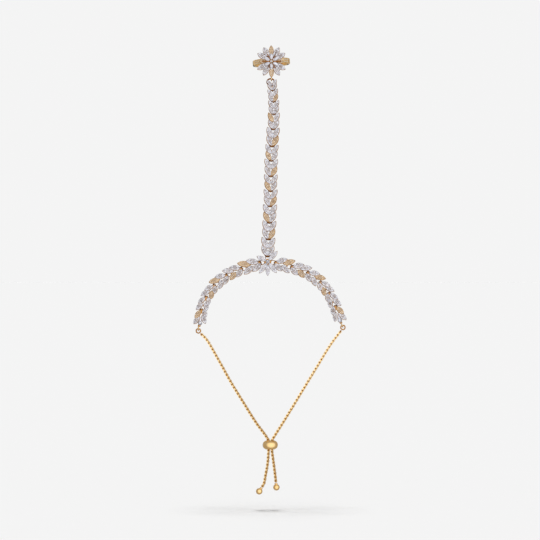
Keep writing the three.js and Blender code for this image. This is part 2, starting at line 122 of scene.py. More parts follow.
# %% A bench for finishes
class FinishBench(Bench):
    """The bench for a material or a world: its main shader and the nodes that feed it."""

    def __init__(self, owner, shader, place="Object"):
        owner.use_nodes = True
        super().__init__(owner.node_tree)
        self.owner = owner
        self.shader = self.tree.nodes[shader]
        self.place = self.node("ShaderNodeTexCoord", output=place)

    def mix(self, share, first, second):
        """One colour fading into another; sockets 6 and 7 are the Mix node's two colours."""
        first, second = (tone if isinstance(tone, Flow) else (*tone, 1) for tone in (first, second))
        return self.node("ShaderNodeMix", {"data_type": "RGBA"}, {0: share, 6: first, 7: second}, output=2)

    def noise(self, size_mm, detail=2.0, stretch=(1, 1, 1)):
        """Soft random tones whose patches are about this many millimetres across."""
        place = self.node("ShaderNodeMapping", {}, {"Vector": self.place, "Scale": stretch})
        return self.node("ShaderNodeTexNoise", {}, {
            "Vector": place, "Scale": 1 / (size_mm * MM), "Detail": detail})

    def cells(self, size_mm):
        """A different flat grey for each little cell of space."""
        colour = self.node("ShaderNodeTexVoronoi", {}, {
            "Vector": self.place, "Scale": 1 / (size_mm * MM)}, output="Color")
        return self.node("ShaderNodeRGBToBW", {}, {"Color": colour})

    def bumps(self, height, depth_mm, strength):
        return self.node("ShaderNodeBump", {}, {
            "Strength": strength, "Distance": depth_mm * MM, "Height": height})

    def finish(self, **sockets):
        """Feeds the shader's own sockets and hands over the finished material or world."""
        self.feed(self.shader, {name.replace("_", " "): value for name, value in sockets.items()})
        return self.owner


def material_bench(name):
    return FinishBench(bpy.data.materials.new(name), "Principled BSDF")


print("ways to mix a finish:", [name for name in vars(FinishBench) if name[0] != "_"])

# %% [markdown]
# ## Yellow gold plate
# The whole piece is cast and soldered in brass and then plated with yellow gold. Polished gold is all
# reflection: what gives it life is that the plate is never perfectly even. One flat colour would look
# like plastic, so a soft drift runs between a paler and a redder gold, the roughness wanders a little,
# and there are very shallow polishing ripples.
#
# There are four golds. Polished gold is for the band, the chains, the bead, the balls and the eyes at the
# ends.
# Leaf gold is for the tops of the gold leaves. Shaded gold is a darker copy of the same plate with shade
# painted into its colour; it is for hinges, end rings and the leaves' walls and prongs, where it draws a
# thin painted dark line round every leaf. Deep gold has still more painted shade and is for what gets
# least light: the collars, the connector, the star's bars and gallery, and the inside of the chains.

# %% The gold finishes
def gold_finish(name, light, deep, roughness):
    bench = material_bench(name)
    drift = bench.noise(size_mm=2.2)
    haze = bench.noise(size_mm=0.5, detail=4.0)
    ripples = bench.noise(size_mm=0.35, stretch=(1, 1, 0.4))
    return bench.finish(
        Base_Color=bench.mix(drift, light, deep),
        Metallic=1.0,
        Roughness=roughness + haze * 0.12,
        Normal=bench.bumps(ripples, depth_mm=0.02, strength=0.35))


polished_gold = gold_finish("polished_gold", (0.98, 0.76, 0.40), (0.89, 0.58, 0.24), 0.16)
leaf_gold = gold_finish("leaf_gold", (0.74, 0.56, 0.37), (0.50, 0.34, 0.19), 0.2)
# Shaded and deep gold are the same gold with painted shade in their colour.
painted_shade_gold = gold_finish("painted_shade_gold", (0.66, 0.37, 0.13), (0.36, 0.17, 0.05), 0.3)
painted_deep_shade_gold = gold_finish("painted_deep_shade_gold", (0.44, 0.19, 0.06), (0.22, 0.08, 0.02), 0.35)
print("gold finishes:", [finish.name for finish in (polished_gold, leaf_gold, painted_shade_gold, painted_deep_shade_gold)])

# %% [markdown]
# ## White plate
# The tops of the white leaves are plated with rhodium, so that the metal round the clear stones looks
# like part of them. It is a cool grey mirror, duller than the gold because the setter's graver has cut
# it into tiny facets. Cutting them all into the mesh would cost far more faces than they would show,
# so one fine noise makes both the small bumps and the change of roughness that such cuts leave.

# %% The white metal finish
def white_finish():
    bench = material_bench("white_plate")
    drift = bench.noise(size_mm=1.4)
    cuts = bench.noise(size_mm=0.22, detail=3.0)
    return bench.finish(
        Base_Color=bench.mix(drift, (0.81, 0.82, 0.88), (0.56, 0.57, 0.64)),
        Metallic=1.0,
        Roughness=0.2 + cuts * 0.2,
        Normal=bench.bumps(cuts, depth_mm=0.03, strength=0.5))


white_plate = white_finish()
print("white metal:", white_plate.name)

# %% [markdown]
# ## Stones
# The stones are cubic zirconia, cut to throw light back out of the front. True refraction in stones a
# millimetre wide costs many samples and shows mostly noise, so each facet is a small bright mirror:
# one facet catches a lamp, its neighbour a dark corner. The light inside a stone is painted into its
# colour: one set of cells, from a pale tone to a tinted one, is painted fire, and a second set is painted
# shade that darkens some places as the stone's depth would.
#
# The stones differ in what lies round them, and its reflection is painted into their colour. Clear ones
# sit in white leaves, and those in gold leaves are tinted warm with a painted reflection of the gold. The
# star's large ones have less painted shade, because one dark cell would fill half a facet, and those
# sunk in the band carry a painted reflection of the gold of their seats.

# %% The stone finishes
PAINTED_FIRE_CELL_MM = 0.55
PAINTED_SHADE_CELL_MM = 0.75


def stone_finish(name, pale, tinted, dark, painted_shade_share=0.9):
    bench = material_bench(name)
    # Painted fire and painted shade, both as cells in the base colour.
    painted_fire = bench.cells(PAINTED_FIRE_CELL_MM)
    depth = bench.cells(PAINTED_SHADE_CELL_MM)
    return bench.finish(
        Base_Color=bench.mix(depth * painted_shade_share, bench.mix(painted_fire, pale, tinted), dark),
        Metallic=0.75,
        Roughness=0.05 + painted_fire * 0.08,
        Coat_Weight=0.6,
        Coat_Roughness=0.03)


clear_stone = stone_finish("clear_stone", (1.0, 1.0, 1.0), (0.84, 0.86, 1.0), (0.06, 0.04, 0.05))
# Stones in gold leaves carry a painted warm reflection of the gold round them.
painted_gold_reflection_stone = stone_finish("painted_gold_reflection_stone", (1.0, 0.92, 0.80), (0.72, 0.56, 0.38), (0.22, 0.13, 0.08))
large_stone = stone_finish(
    "large_stone", (0.94, 0.94, 0.97), (0.70, 0.71, 0.83), (0.14, 0.10, 0.10), painted_shade_share=0.65)
# Stones in the band carry a painted reflection of its gold and some painted shade.
band_stone = stone_finish(
    "band_stone", (1.0, 0.98, 0.92), (0.96, 0.86, 0.68), (0.42, 0.30, 0.16), painted_shade_share=0.5)
print("stone finishes:", [finish.name for finish in (clear_stone, painted_gold_reflection_stone, large_stone, band_stone)])

# %% [markdown]
# ## Setting shapes on seats
# A setter works from a tray of identical stones and a casting full of seats. Geometry Nodes works the
# same way. One tree takes a cloud of seats, each with a turn and a size, puts a copy of a shape on
# every seat, makes the copies real and gives them their finish. Hundreds of copies made one by one
# would be slow and easy to misplace, so nearly everything below is set by this tree.

# %% A bench for Geometry Nodes
class SettingBench(Bench):
    """The bench for a Geometry Nodes tree with named inputs."""

    def __init__(self, name):
        super().__init__(bpy.data.node_groups.new(name, "GeometryNodeTree"))
        self.entry = self.tree.nodes.new("NodeGroupInput")
        self.identifiers = {}

    def input(self, name, kind):
        socket = self.tree.interface.new_socket(name, in_out="INPUT", socket_type="NodeSocket" + kind)
        self.identifiers[name] = socket.identifier
        return Flow(self, self.entry.outputs[name])

    def set_copies(self, shape, finish, **seats):
        """Ends the tree: a copy of the shape on every seat, made real and given its finish."""
        pattern = self.node("GeometryNodeObjectInfo", {}, {"Object": shape}, output="Geometry")
        copies = self.node("GeometryNodeInstanceOnPoints", {}, {"Instance": pattern, **seats})
        real = self.node("GeometryNodeRealizeInstances", {}, {"Geometry": copies})
        finished = self.node("GeometryNodeSetMaterial", {}, {"Geometry": real, "Material": finish})
        leave = self.tree.nodes.new("NodeGroupOutput")
        self.tree.interface.new_socket("Set pieces", in_out="OUTPUT", socket_type="NodeSocketGeometry")
        self.feed(leave, {"Set pieces": finished})

    def run(self, thing, **values):
        """The plain mesh that the tree makes from an object, which is then cleared away."""
        modifier = thing.modifiers.new("setting", "NODES")
        modifier.node_group = self.tree
        for name, value in values.items():
            modifier[self.identifiers[name.replace("_", " ")]] = value
        bpy.context.view_layer.update()
        graph = bpy.context.evaluated_depsgraph_get()
        mesh = bpy.data.meshes.new_from_object(thing.evaluated_get(graph))
        bpy.data.objects.remove(thing)
        return mesh


# %% The setting tree
def setting_tree():
    bench = SettingBench("set_on_seats")
    seats = bench.input("Seats", "Geometry")
    shape = bench.input("Shape", "Object")
    finish = bench.input("Finish", "Material")
    turn, size = (
        bench.node("GeometryNodeInputNamedAttribute", {"data_type": kind}, {"Name": name})
        for name, kind in (("turn", "QUATERNION"), ("size", "FLOAT_VECTOR")))
    bench.set_copies(shape, finish, Points=seats, Rotation=turn, Scale=size)
    return bench


SETTING = setting_tree()


def on_bench(name, data):
    """Puts a mesh, curve, lamp or camera into the scene as an object at the origin."""
    thing = bpy.data.objects.new(name, data)
    bpy.context.scene.collection.objects.link(thing)
    return thing


def set_on_seats(shape, seats, finish):
    """A layer of copies, one on every seat, and their finish. A seat is (place, turn, size)."""
    cloud = bpy.data.meshes.new("seats")
    cloud.from_pydata([place for place, _, _ in seats], [], [])
    turns = cloud.attributes.new("turn", "QUATERNION", "POINT")
    turns.data.foreach_set("value", [number for _, turn, _ in seats for number in turn])
    sizes = cloud.attributes.new("size", "FLOAT_VECTOR", "POINT")
    sizes.data.foreach_set("vector", [number for _, _, size in seats for number in size])
    return SETTING.run(on_bench("seats", cloud), Shape=shape, Finish=finish), finish


print("setting tree inputs:", list(SETTING.identifiers))

# %% [markdown]
# ## Joining layers into one piece
# Soldered metal is one piece. A piece here is a list of layers, each a mesh with one finish, and they
# are gathered into a single mesh that keeps each layer's own finish. The piece then takes the place of
# the plain solid that held its seat. The layers could stay apart as objects of their own, but then one
# link of the chain would be nearly a dozen things to move.

# %% Join the layers of a piece
def gather(name, layers):
    """One mesh from (mesh, finish) layers."""
    finishes = list(dict.fromkeys(finish for _, finish in layers))
    joined = bmesh.new()
    for mesh, finish in layers:
        start = len(joined.faces)
        joined.from_mesh(mesh)
        joined.faces.ensure_lookup_table()
        for face in joined.faces[start:]:
            face.material_index = finishes.index(finish)
    mesh = bpy.data.meshes.new(name)
    joined.to_mesh(mesh)
    joined.free()
    for finish in finishes:
        mesh.materials.append(finish)
    return mesh


def moved(mesh, matrix):
    mesh.transform(matrix)
    return mesh


# Heights below are counted from a level that lies this far under the centre of the finger hole.
BAND_RISE = 1.0


def finish_piece(name, layers):
    """Hands a finished piece over in place of the solid of the same name."""
    mesh = moved(gather(name, layers), Matrix.Translation((0, 0, -BAND_RISE * MM)))
    piece = on_bench(name + "_jewelled", mesh)
    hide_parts(name)
    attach(piece, "root")
    print(f"{name}: {len(piece.data.polygons)} faces")


# %% [markdown]
# ## Basic forms
# Three ways of making a form cover almost all goldsmith's work: a body turned on a lathe, a wire bent
# along a line, and a body raised through outlines with equally many points. Primitives and modifiers
# could give them too, but a few lines of mesh code keep every edge where the maker wants it. All three
# end in the same step, which turns the faces outwards and smooths the soft edges.

# %% Raised, turned and drawn forms
MERGE_WITHIN = 1e-7  # points closer than this, in metres, become one
POINTED = 1e-9  # an end on the axis keeps this radius until its doubled points are merged


def mesh_from(name, points, faces, smooth_below_deg=35):
    """A closed mesh, its faces turned outwards and its soft edges smoothed."""
    mesh = bpy.data.meshes.new(name)
    mesh.from_pydata(points, [], faces)
    shell = bmesh.new()
    shell.from_mesh(mesh)
    bmesh.ops.remove_doubles(shell, verts=shell.verts, dist=MERGE_WITHIN)
    bmesh.ops.recalc_face_normals(shell, faces=shell.faces)
    shell.to_mesh(mesh)
    shell.free()
    mesh.shade_smooth()
    mesh.set_sharp_from_angle(angle=math.radians(smooth_below_deg))
    return mesh


def raised(name, outlines, smooth_below_deg=35, closed=False):
    """A body through outlines with equally many points; a closed one joins its last to its first."""
    count = len(outlines[0])
    rings = len(outlines)
    faces = []
    for ring in range(rings if closed else rings - 1):
        for i in range(count):
            j = (i + 1) % count
            low, high = ring * count, (ring + 1) % rings * count
            faces.append((low + i, low + j, high + j, high + i))
    if not closed:
        faces.append(tuple(range(count)))
        faces.append(tuple((rings - 1) * count + i for i in range(count)))
    return mesh_from(name, [point for outline in outlines for point in outline], faces, smooth_below_deg)


def turned(name, profile, segments=32, smooth_below_deg=35):
    """A body of revolution about Z from (radius, height) corners whose ends lie on the axis."""
    angles = [2 * math.pi * i / segments for i in range(segments)]
    outlines = [[
        (max(radius, POINTED) * math.cos(angle), max(radius, POINTED) * math.sin(angle), height)
        for angle in angles] for radius, height in profile]
    return raised(name, outlines, smooth_below_deg)


def wire(name, path, radius, sides=10, closed=False, up=Vector((0, 1, 0))):
    """A round wire along a path of points; up is any direction that the path never follows."""
    outlines = []
    count = len(path)
    for i, point in enumerate(path):
        before = path[(i - 1) % count] if closed or i else point
        after = path[(i + 1) % count] if closed or i + 1 < count else point
        ahead = (after - before).normalized()
        side = ahead.cross(up).normalized()
        lift = side.cross(ahead)
        outlines.append([
            point + radius * (side * math.cos(angle) + lift * math.sin(angle))
            for angle in (2 * math.pi * k / sides for k in range(sides))])
    return raised(name, outlines, closed=closed)


print("forms:", [form.__name__ for form in (raised, turned, wire)])

# %% [markdown]
# ## The leaf
# Every leaf is a marquise: the shape where two circles overlap. An inner outline could be had by
# scaling the outer one, but then the rim would grow thin along the sides. Shrinking both circles moves
# it inwards by the same distance everywhere, so the wall, the rim and the sunk floor stay parallel, as
# they are in a caster's wax.

# %% The marquise outline
LEAF_LENGTH = 5.8
LEAF_WIDTH = 2.75
LEAF_CORNERS = 11  # points along each side, both tips included


def marquise(length, width, inset, height):
    """A closed outline in millimetres, turned into metres, at a height above the back."""
    circle = (length ** 2 + width ** 2) / (4 * width)
    offset = circle - width / 2
    radius = circle - inset
    tip = math.sqrt(radius ** 2 - offset ** 2)
    stations = [tip * -math.cos(math.pi * i / (LEAF_CORNERS - 1)) for i in range(LEAF_CORNERS)]
    side = [(x, math.sqrt(max(radius ** 2 - x ** 2, 0)) - offset) for x in stations]
    loop = side[:-1] + [(x, -y) for x, y in reversed(side[1:])]
    return [(x * MM, y * MM, height * MM) for x, y in loop]


def leaf_body(name, levels):
    """A marquise body through levels of height and inset."""
    return on_bench(name, raised(name, [
        marquise(LEAF_LENGTH, LEAF_WIDTH, level["inset"], level["height"]) for level in levels]))


print(f"leaf: {LEAF_LENGTH} by {LEAF_WIDTH} mm, {2 * (LEAF_CORNERS - 1)} corners")

# %% [markdown]
# A leaf is two metals, so it is made as two bodies, each with its own finish. The gold wall rises from
# the back, where it is hollowed out as a caster does to save metal, and has a groove round it. The
# plate on top is white on most leaves and gold on a few, with a raised rim and a floor sunk just deep
# enough for the stones. Each row below is one outline: how high it lies and how far in from the edge.

# %% The leaf's wall and plate
leaf_wall = leaf_body("leaf_wall", [
    {"height": 0.45, "inset": 0.62},
    {"height": 0.10, "inset": 0.48},
    {"height": 0.00, "inset": 0.38},
    {"height": 0.00, "inset": 0.10},
    {"height": 0.08, "inset": 0.03},
    {"height": 0.42, "inset": 0.02},
    {"height": 0.48, "inset": 0.10},
    {"height": 0.60, "inset": 0.10},
    {"height": 0.66, "inset": 0.00},
    {"height": 0.96, "inset": 0.02},
    {"height": 1.02, "inset": 0.10},
])
leaf_plate = leaf_body("leaf_plate", [
    {"height": 0.95, "inset": 0.13},
    {"height": 1.14, "inset": 0.08},
    {"height": 1.20, "inset": 0.12},
    {"height": 1.20, "inset": 0.19},
    {"height": 1.08, "inset": 0.25},
    {"height": 1.10, "inset": 0.60},
])
print("leaf wall and plate:", len(leaf_wall.data.polygons), len(leaf_plate.data.polygons), "faces")

# %% [markdown]
# ## Stones and prongs
# A round brilliant has a flat table, a crown of slanting facets and a point below. A true one has
# fifty-eight facets. Eight-fold rings turned half a step against each other give kite and star facets
# with fewer faces, which matters because there are more than a thousand stones. The prongs are tiny
# beads of metal pushed over the stones' edges.

# %% A round brilliant and a bead prong
def zigzag(low, high, count):
    """Triangles between two rings that are turned half a step against each other."""
    faces = []
    for i in range(count):
        j = (i + 1) % count
        faces += [(low + i, low + j, high + i), (low + j, high + j, high + i)]
    return faces


def cut_stone(name, rings, culet, count=8):
    """A stone from its edge up to its table, in rings of (half length, half width, height), and its point."""
    points = []
    for ring, (radius_x, radius_y, height) in enumerate(rings):
        for i in range(count):
            angle = 2 * math.pi * (i + 0.5 * (ring % 2)) / count
            points.append((radius_x * math.cos(angle), radius_y * math.sin(angle), height))
    faces = [tuple(range((len(rings) - 1) * count, len(rings) * count))]
    for ring in range(len(rings) - 1):
        faces += zigzag(ring * count, (ring + 1) * count, count)
    points.append((0, 0, culet))
    faces += [((i + 1) % count, i, len(points) - 1) for i in range(count)]
    return on_bench(name, mesh_from(name, points, faces, smooth_below_deg=1))


round_stone = cut_stone("round_stone", [
    (1.0, 1.0, 0.0), (0.86, 0.86, 0.16), (0.56, 0.56, 0.32)], culet=-0.45)
bead_prong = on_bench("bead_prong", turned("bead_prong", [
    (0, -0.6), (1.0, -0.5), (0.8, 0.6), (0, 1.0)], segments=6, smooth_below_deg=80))
print("brilliant:", len(round_stone.data.polygons), "faces; prong:", len(bead_prong.data.polygons))

# %% [markdown]
# ## Seats on a leaf
# Twelve small stones cover each leaf, a middle row of six and three more on each side. Bead prongs fill
# the corners between them. Both tables are for one plain leaf in its own millimetres; a seat on a real
# leaf is the same point carried along by the leaf's turn and size. No setter gets every stone quite
# level, and that is why a set leaf sparkles unevenly. So each seat is tilted a little at random, always
# from the same fixed seed.

# %% Where stones and prongs sit on a leaf
LEAF_STONES = [
    {"across": 0.0, "first": -1.95, "step": 0.78, "count": 6, "radius": 0.36},
    {"across": 0.7, "first": -0.78, "step": 0.78, "count": 3, "radius": 0.32},
    {"across": -0.7, "first": -0.78, "step": 0.78, "count": 3, "radius": 0.32},
]
LEAF_PRONGS = [
    {"along": 0.0, "across": 0.30},
    {"along": 0.39, "across": 0.42},
    {"along": 0.39, "across": 0.98},
    {"along": 0.78, "across": 0.30},
    {"along": 1.56, "across": 0.42},
    {"along": 2.40, "across": 0.0},
]
PRONG_RADIUS = 0.16
STONE_SEAT_HEIGHT = 1.13
STONE_TILT_DEG = 7
FRONT = Vector((0, -1, 0))
random_turns = random.Random(7)


def facing_front(ahead):
    """The turn that lays X along a direction of the front plane, with Z towards the front."""
    return Matrix((ahead, FRONT.cross(ahead), FRONT)).transposed().to_quaternion()


def mirrored(along, across):
    """The same spot in all four quarters of a leaf, each place once."""
    return sorted({(x, y) for x in (-along, along) for y in (-across, across)})


class Leaf:
    """The seat of one leaf: its middle, its turn, and its size as shares of the plain leaf's."""

    def __init__(self, start, end, width, back, lean_deg, gold=False):
        self.middle = Vector(((start.x + end.x) / 2, back, (start.z + end.z) / 2))
        self.size = (math.hypot(end.x - start.x, end.z - start.z) / LEAF_LENGTH, width / LEAF_WIDTH)
        ahead = Vector((end.x - start.x, 0, end.z - start.z)).normalized()
        lean = -math.copysign(math.radians(lean_deg), FRONT.cross(ahead).z)
        self.turn = facing_front(ahead) @ Quaternion((1, 0, 0), lean)
        self.gold = gold

    def seat(self):
        return self.middle * MM, self.turn, (*self.size, 1)

    def carried(self, along, across, height, size):
        """A seat on the leaf, sized by the leaf's width so that round things stay round."""
        spot = Vector((along * self.size[0], across * self.size[1], height))
        scale = size * self.size[1] * MM
        spin = Quaternion((0, 0, 1), random_turns.uniform(0, math.pi / 4))
        tip = Quaternion((1, 0, 0), math.radians(random_turns.uniform(-STONE_TILT_DEG, STONE_TILT_DEG)))
        tilt = Quaternion((0, 1, 0), math.radians(random_turns.uniform(-STONE_TILT_DEG, STONE_TILT_DEG)))
        return (self.middle + self.turn @ spot) * MM, self.turn @ tip @ tilt @ spin, (scale,) * 3

    def stones(self):
        return [
            self.carried(row["first"] + row["step"] * i, row["across"], STONE_SEAT_HEIGHT, row["radius"])
            for row in LEAF_STONES for i in range(row["count"])]

    def prongs(self):
        return [
            self.carried(along, across, STONE_SEAT_HEIGHT, PRONG_RADIUS)
            for row in LEAF_PRONGS for along, across in mirrored(row["along"], row["across"])]


def leaf_layers(leaves):
    """Walls, plates, stones and prongs of some leaves, first the white ones and then the gold ones."""
    # Walls and prongs are in shaded gold, whose painted shade draws a dark line round each leaf.
    layers = [set_on_seats(leaf_wall, [leaf.seat() for leaf in leaves], painted_shade_gold)]
    for gold, metal, gem in ((False, white_plate, clear_stone), (True, leaf_gold, painted_gold_reflection_stone)):
        some = [leaf for leaf in leaves if leaf.gold == gold]
        if some:
            stones = [seat for leaf in some for seat in leaf.stones()]
            prongs = [seat for leaf in some for seat in leaf.prongs()]
            layers += [
                set_on_seats(leaf_plate, [leaf.seat() for leaf in some], metal),
                set_on_seats(round_stone, stones, gem),
                set_on_seats(bead_prong, prongs, painted_shade_gold)]
    return layers


print("stones on a leaf:", sum(row["count"] for row in LEAF_STONES))

# %% [markdown]
# ## The line that links follow
# The finger chain and the arms are rows of hinged links. Each leaf could be placed by hand, but they
# would never line up. Here a smooth line through the hinges gives every leaf its place: so many links
# along the line, so far to one side. The line is the same centripetal Catmull-Rom curve that the solid
# model uses, so the leaves land on their solids.

# %% A smooth line through hinges
class HingeLine:
    """The line through a row of hinges; number 0 is the first hinge and 2.5 the middle of the third link."""

    def __init__(self, rows):
        points = [Vector((row["x"], 0, row["z"])) for row in rows]
        self.last = len(points) - 1
        self.points = [2 * points[0] - points[1], *points, 2 * points[-1] - points[-2]]

    def _cubic(self, number):
        """Start, three coefficients and parameter of the curve between two hinges."""
        index = min(int(number), self.last - 1)
        a, b, c, d = self.points[index:index + 4]
        before, between, after = (math.sqrt((q - p).length) for p, q in ((a, b), (b, c), (c, d)))
        leave = ((b - a) / before - (c - a) / (before + between) + (c - b) / between) * between
        arrive = ((c - b) / between - (d - b) / (between + after) + (d - c) / after) * between
        return b, leave, 3 * (c - b) - 2 * leave - arrive, 2 * (b - c) + leave + arrive, number - index

    def ahead(self, number):
        _, first, second, third, t = self._cubic(number)
        return (first + 2 * t * second + 3 * t * t * third).normalized()

    def at(self, number, side=0.0, along=0.0):
        """A point of the line, moved so many millimetres to its side and along it."""
        start, first, second, third, t = self._cubic(number)
        ahead = self.ahead(number)
        point = start + t * (first + t * (second + t * third))
        return point + ahead * along + Vector((ahead.z, 0, -ahead.x)) * side

    def length(self, index):
        return (self.at(index + 1) - self.at(index)).length

    def whole(self):
        return sum(self.length(index) for index in range(self.last))

    def on_link(self, index, share, side):
        """A point of one link by its share of the link's length; a leaf may reach past both ends."""
        inside = min(max(share, 0.0), 1.0)
        return self.at(index + inside, side, (share - inside) * self.length(index))


# %% [markdown]
# ## Hinges
# Behind each joint a wire eye hangs on a pin between two lugs, so the chain bends over the knuckles.
# In front, a collar cups the feet of the lower leaves; it is the U that shows at every joint, and its dark
# gold is painted shade.
# Nearly all of it is wire and bar, so each shape is drawn once here in its own millimetres and then set
# on every joint like a stone.

# %% Eye, staple and collar
LINK_BACK = -10.5
HINGE_Y = LINK_BACK + 0.9
HINGE_SHIFT = 0.4  # the pin lies this far past the link's end, behind the next link's collar
EYE_RADIUS = 0.85
EYE_WIRE = 0.3
LUG_SIDE = 1.05
LUG_LENGTH = 3.1
LUG_PAST_PIN = 0.35
LUG_HALF_WIDTH = 0.2
BRIDGE_LENGTH = 0.7
PIN_REACH = 1.3
PIN_WIRE = 0.25
COLLAR_WIRE = 0.34
COLLAR_HALF = (1.4, 1.5)  # along the link and across it
COLLAR_SHIFT = 0.95
COLLAR_OPEN_DEG = 112  # the U runs this far round on both sides of its lowest point
COLLAR_STEPS = 14


def ring_path(radius_x, radius_z, steps):
    angles = [2 * math.pi * i / steps for i in range(steps)]
    return [Vector((radius_x * math.cos(a), 0, radius_z * math.sin(a))) * MM for a in angles]


def box_outline(x, half_y, half_z):
    return [(x * MM, y * MM, z * MM) for y, z in (
        (-half_y, -half_z), (half_y, -half_z), (half_y, half_z), (-half_y, half_z))]


def soft_bar(name, length, half_y, half_z, edge=0.12):
    """A bar along X with its edges broken, as a file leaves them."""
    mesh = raised(name, [box_outline(0, half_y, half_z), box_outline(length, half_y, half_z)])
    shape = bmesh.new()
    shape.from_mesh(mesh)
    bmesh.ops.bevel(shape, geom=shape.edges, offset=edge * MM, segments=2, affect="EDGES", profile=0.5)
    shape.to_mesh(mesh)
    shape.free()
    mesh.shade_smooth()
    return mesh


def staple_mesh():
    """Two lugs, a cross bar and the hinge pin, lying along X with the pin at the origin."""
    pin_path = [Vector((0, y, 0)) * MM for y in (-PIN_REACH, -1.2, 1.2, PIN_REACH)]
    parts = [wire("pin", pin_path, PIN_WIRE * MM, up=Vector((0, 0, 1)))]
    for side in (-LUG_SIDE, LUG_SIDE):
        lug = soft_bar("lug", LUG_LENGTH + LUG_PAST_PIN, LUG_HALF_WIDTH, 0.4)
        parts.append(moved(lug, Matrix.Translation((-LUG_PAST_PIN * MM, side * MM, 0))))
    bridge = soft_bar("bridge", BRIDGE_LENGTH, LUG_SIDE + LUG_HALF_WIDTH, 0.85)
    parts.append(moved(bridge, Matrix.Translation(Vector((LUG_LENGTH - BRIDGE_LENGTH, 0, 0.45)) * MM)))
    return gather("staple", [(part, painted_shade_gold) for part in parts])


def collar_path():
    """A U round the feet of the two lower leaves, open towards their tips."""
    along, across = COLLAR_HALF
    turns = [math.radians(COLLAR_OPEN_DEG * (2 * i / COLLAR_STEPS - 1)) for i in range(COLLAR_STEPS + 1)]
    return [Vector((COLLAR_SHIFT - along * math.cos(a), across * math.sin(a), 0)) * MM for a in turns]


hinge_eye = on_bench("hinge_eye", wire(
    "hinge_eye", ring_path(EYE_RADIUS, EYE_RADIUS, 20), EYE_WIRE * MM, sides=8, closed=True))
staple = on_bench("staple", staple_mesh())
collar = on_bench("collar", wire(
    "collar", collar_path(), COLLAR_WIRE * MM, sides=8, up=Vector((0, 0, 1))))
foot = on_bench("foot", turned("foot", [(radius * MM, height * MM) for radius, height in (
    (0, -0.1), (1.15, -0.1), (1.25, 0), (1.25, 0.7), (0, 0.75))], segments=20))
tie_bar = on_bench("tie_bar", soft_bar("tie_bar", 1.0, 0.42, 0.3, edge=0.1))
print("hinge shapes:", [thing.name for thing in (hinge_eye, staple, collar, foot, tie_bar)])

# %% [markdown]
# A hinge part is placed by two facts: where it is, and which way its length points. Its top always
# faces the front of the piece. The collar also grows with its link, but it has to stay clear of the
# leaves of the link below, so the arms' collars are drawn smaller than the finger chain's.

# %% Seats for hinge parts
USUAL_LINK = 8.5  # a collar of size 1 fits a link of this length
COLLAR_SIZE = {"finger": 0.92, "arm": 0.75}
COLLAR_HEIGHT = 1.7
COLLAR_Y = LINK_BACK - 0.6
FOOT_SHIFT = 0.85


def seat_at(point, y, ahead, size=(1, 1, 1)):
    return Vector((point.x, y, point.z)) * MM, facing_front(ahead), size


def link_hardware(line, index, collar_size, has_staple):
    """The gold parts behind and between the leaves of one link."""
    ahead = line.ahead(index)
    scale = collar_size * line.length(index) / USUAL_LINK
    layers = [
        set_on_seats(hinge_eye, [seat_at(line.at(index, along=HINGE_SHIFT), HINGE_Y, ahead)], painted_shade_gold),
        set_on_seats(foot, [seat_at(line.at(index, along=FOOT_SHIFT), LINK_BACK, ahead)], painted_shade_gold),
        # The collar is in the gold with the deepest painted shade.
        set_on_seats(collar, [
            seat_at(line.at(index), COLLAR_Y, ahead, (scale, scale, COLLAR_HEIGHT))], painted_deep_shade_gold),
    ]
    if has_staple:
        pin = line.at(index + 1, along=HINGE_SHIFT)
        layers.append(set_on_seats(staple, [seat_at(pin, HINGE_Y, -line.ahead(index + 1))], painted_shade_gold))
    return layers


print("collar sizes:", COLLAR_SIZE)

# %% [markdown]
# ## The finger chain
# Twelve links run from the flower up to the ring. Each carries four leaves in two pairs that point up
# and outwards, like a laurel. One leaf in most links is gold instead of white, first on one side and
# then on the other. One link could be modelled and bent along the line, but the links differ in length,
# so each is set out anew from two short tables. The first gives each leaf's base and tip as shares of
# its link's length. The second lists the hinges from the flower upwards, with how far the leaves reach
# sideways and the number of the gold leaf, if there is one.

# %% Leaves and hinges of the finger chain
FINGER_LEAVES = [
    {"side": -1, "base": -0.02, "tip": 0.62, "reach": 1},
    {"side": 1, "base": -0.02, "tip": 0.62, "reach": 1},
    {"side": -1, "base": 0.42, "tip": 1.1, "reach": 1.1},
    {"side": 1, "base": 0.42, "tip": 1.1, "reach": 1.1},
]
FINGER_HINGES = [
    {"x": -2.0, "z": -102.7, "reach": 3.25, "gold": None},
    {"x": -1.65, "z": -93.7, "reach": 3.25, "gold": 1},
    {"x": -1.05, "z": -84.9, "reach": 3.3, "gold": 0},
    {"x": -0.75, "z": -76.2, "reach": 3.3, "gold": 1},
    {"x": -0.4, "z": -68.2, "reach": 3.25, "gold": 0},
    {"x": -0.3, "z": -60.3, "reach": 3.2, "gold": 1},
    {"x": -0.1, "z": -52.1, "reach": 3.1, "gold": 0},
    {"x": 0.35, "z": -44.4, "reach": 3.0, "gold": 1},
    {"x": 0.95, "z": -35.4, "reach": 2.75, "gold": 2},
    {"x": 1.3, "z": -27.5, "reach": 2.6, "gold": None},
    {"x": 1.2, "z": -20.9, "reach": 2.5, "gold": 1},
    {"x": 0.7, "z": -14.9, "reach": 2.45, "gold": None},
    {"x": 0.1, "z": -9.4, "reach": 0, "gold": None},
]
FINGER_BASE_OFFSET = 0.32
FINGER_LEAF_WIDTH = {"least": 0, "share": 0.335}  # a share of the link's length on top of a least width
LEAF_LEAN_DEG = 13
LEAN_VARIES_DEG = 3
finger_line = HingeLine(FINGER_HINGES)


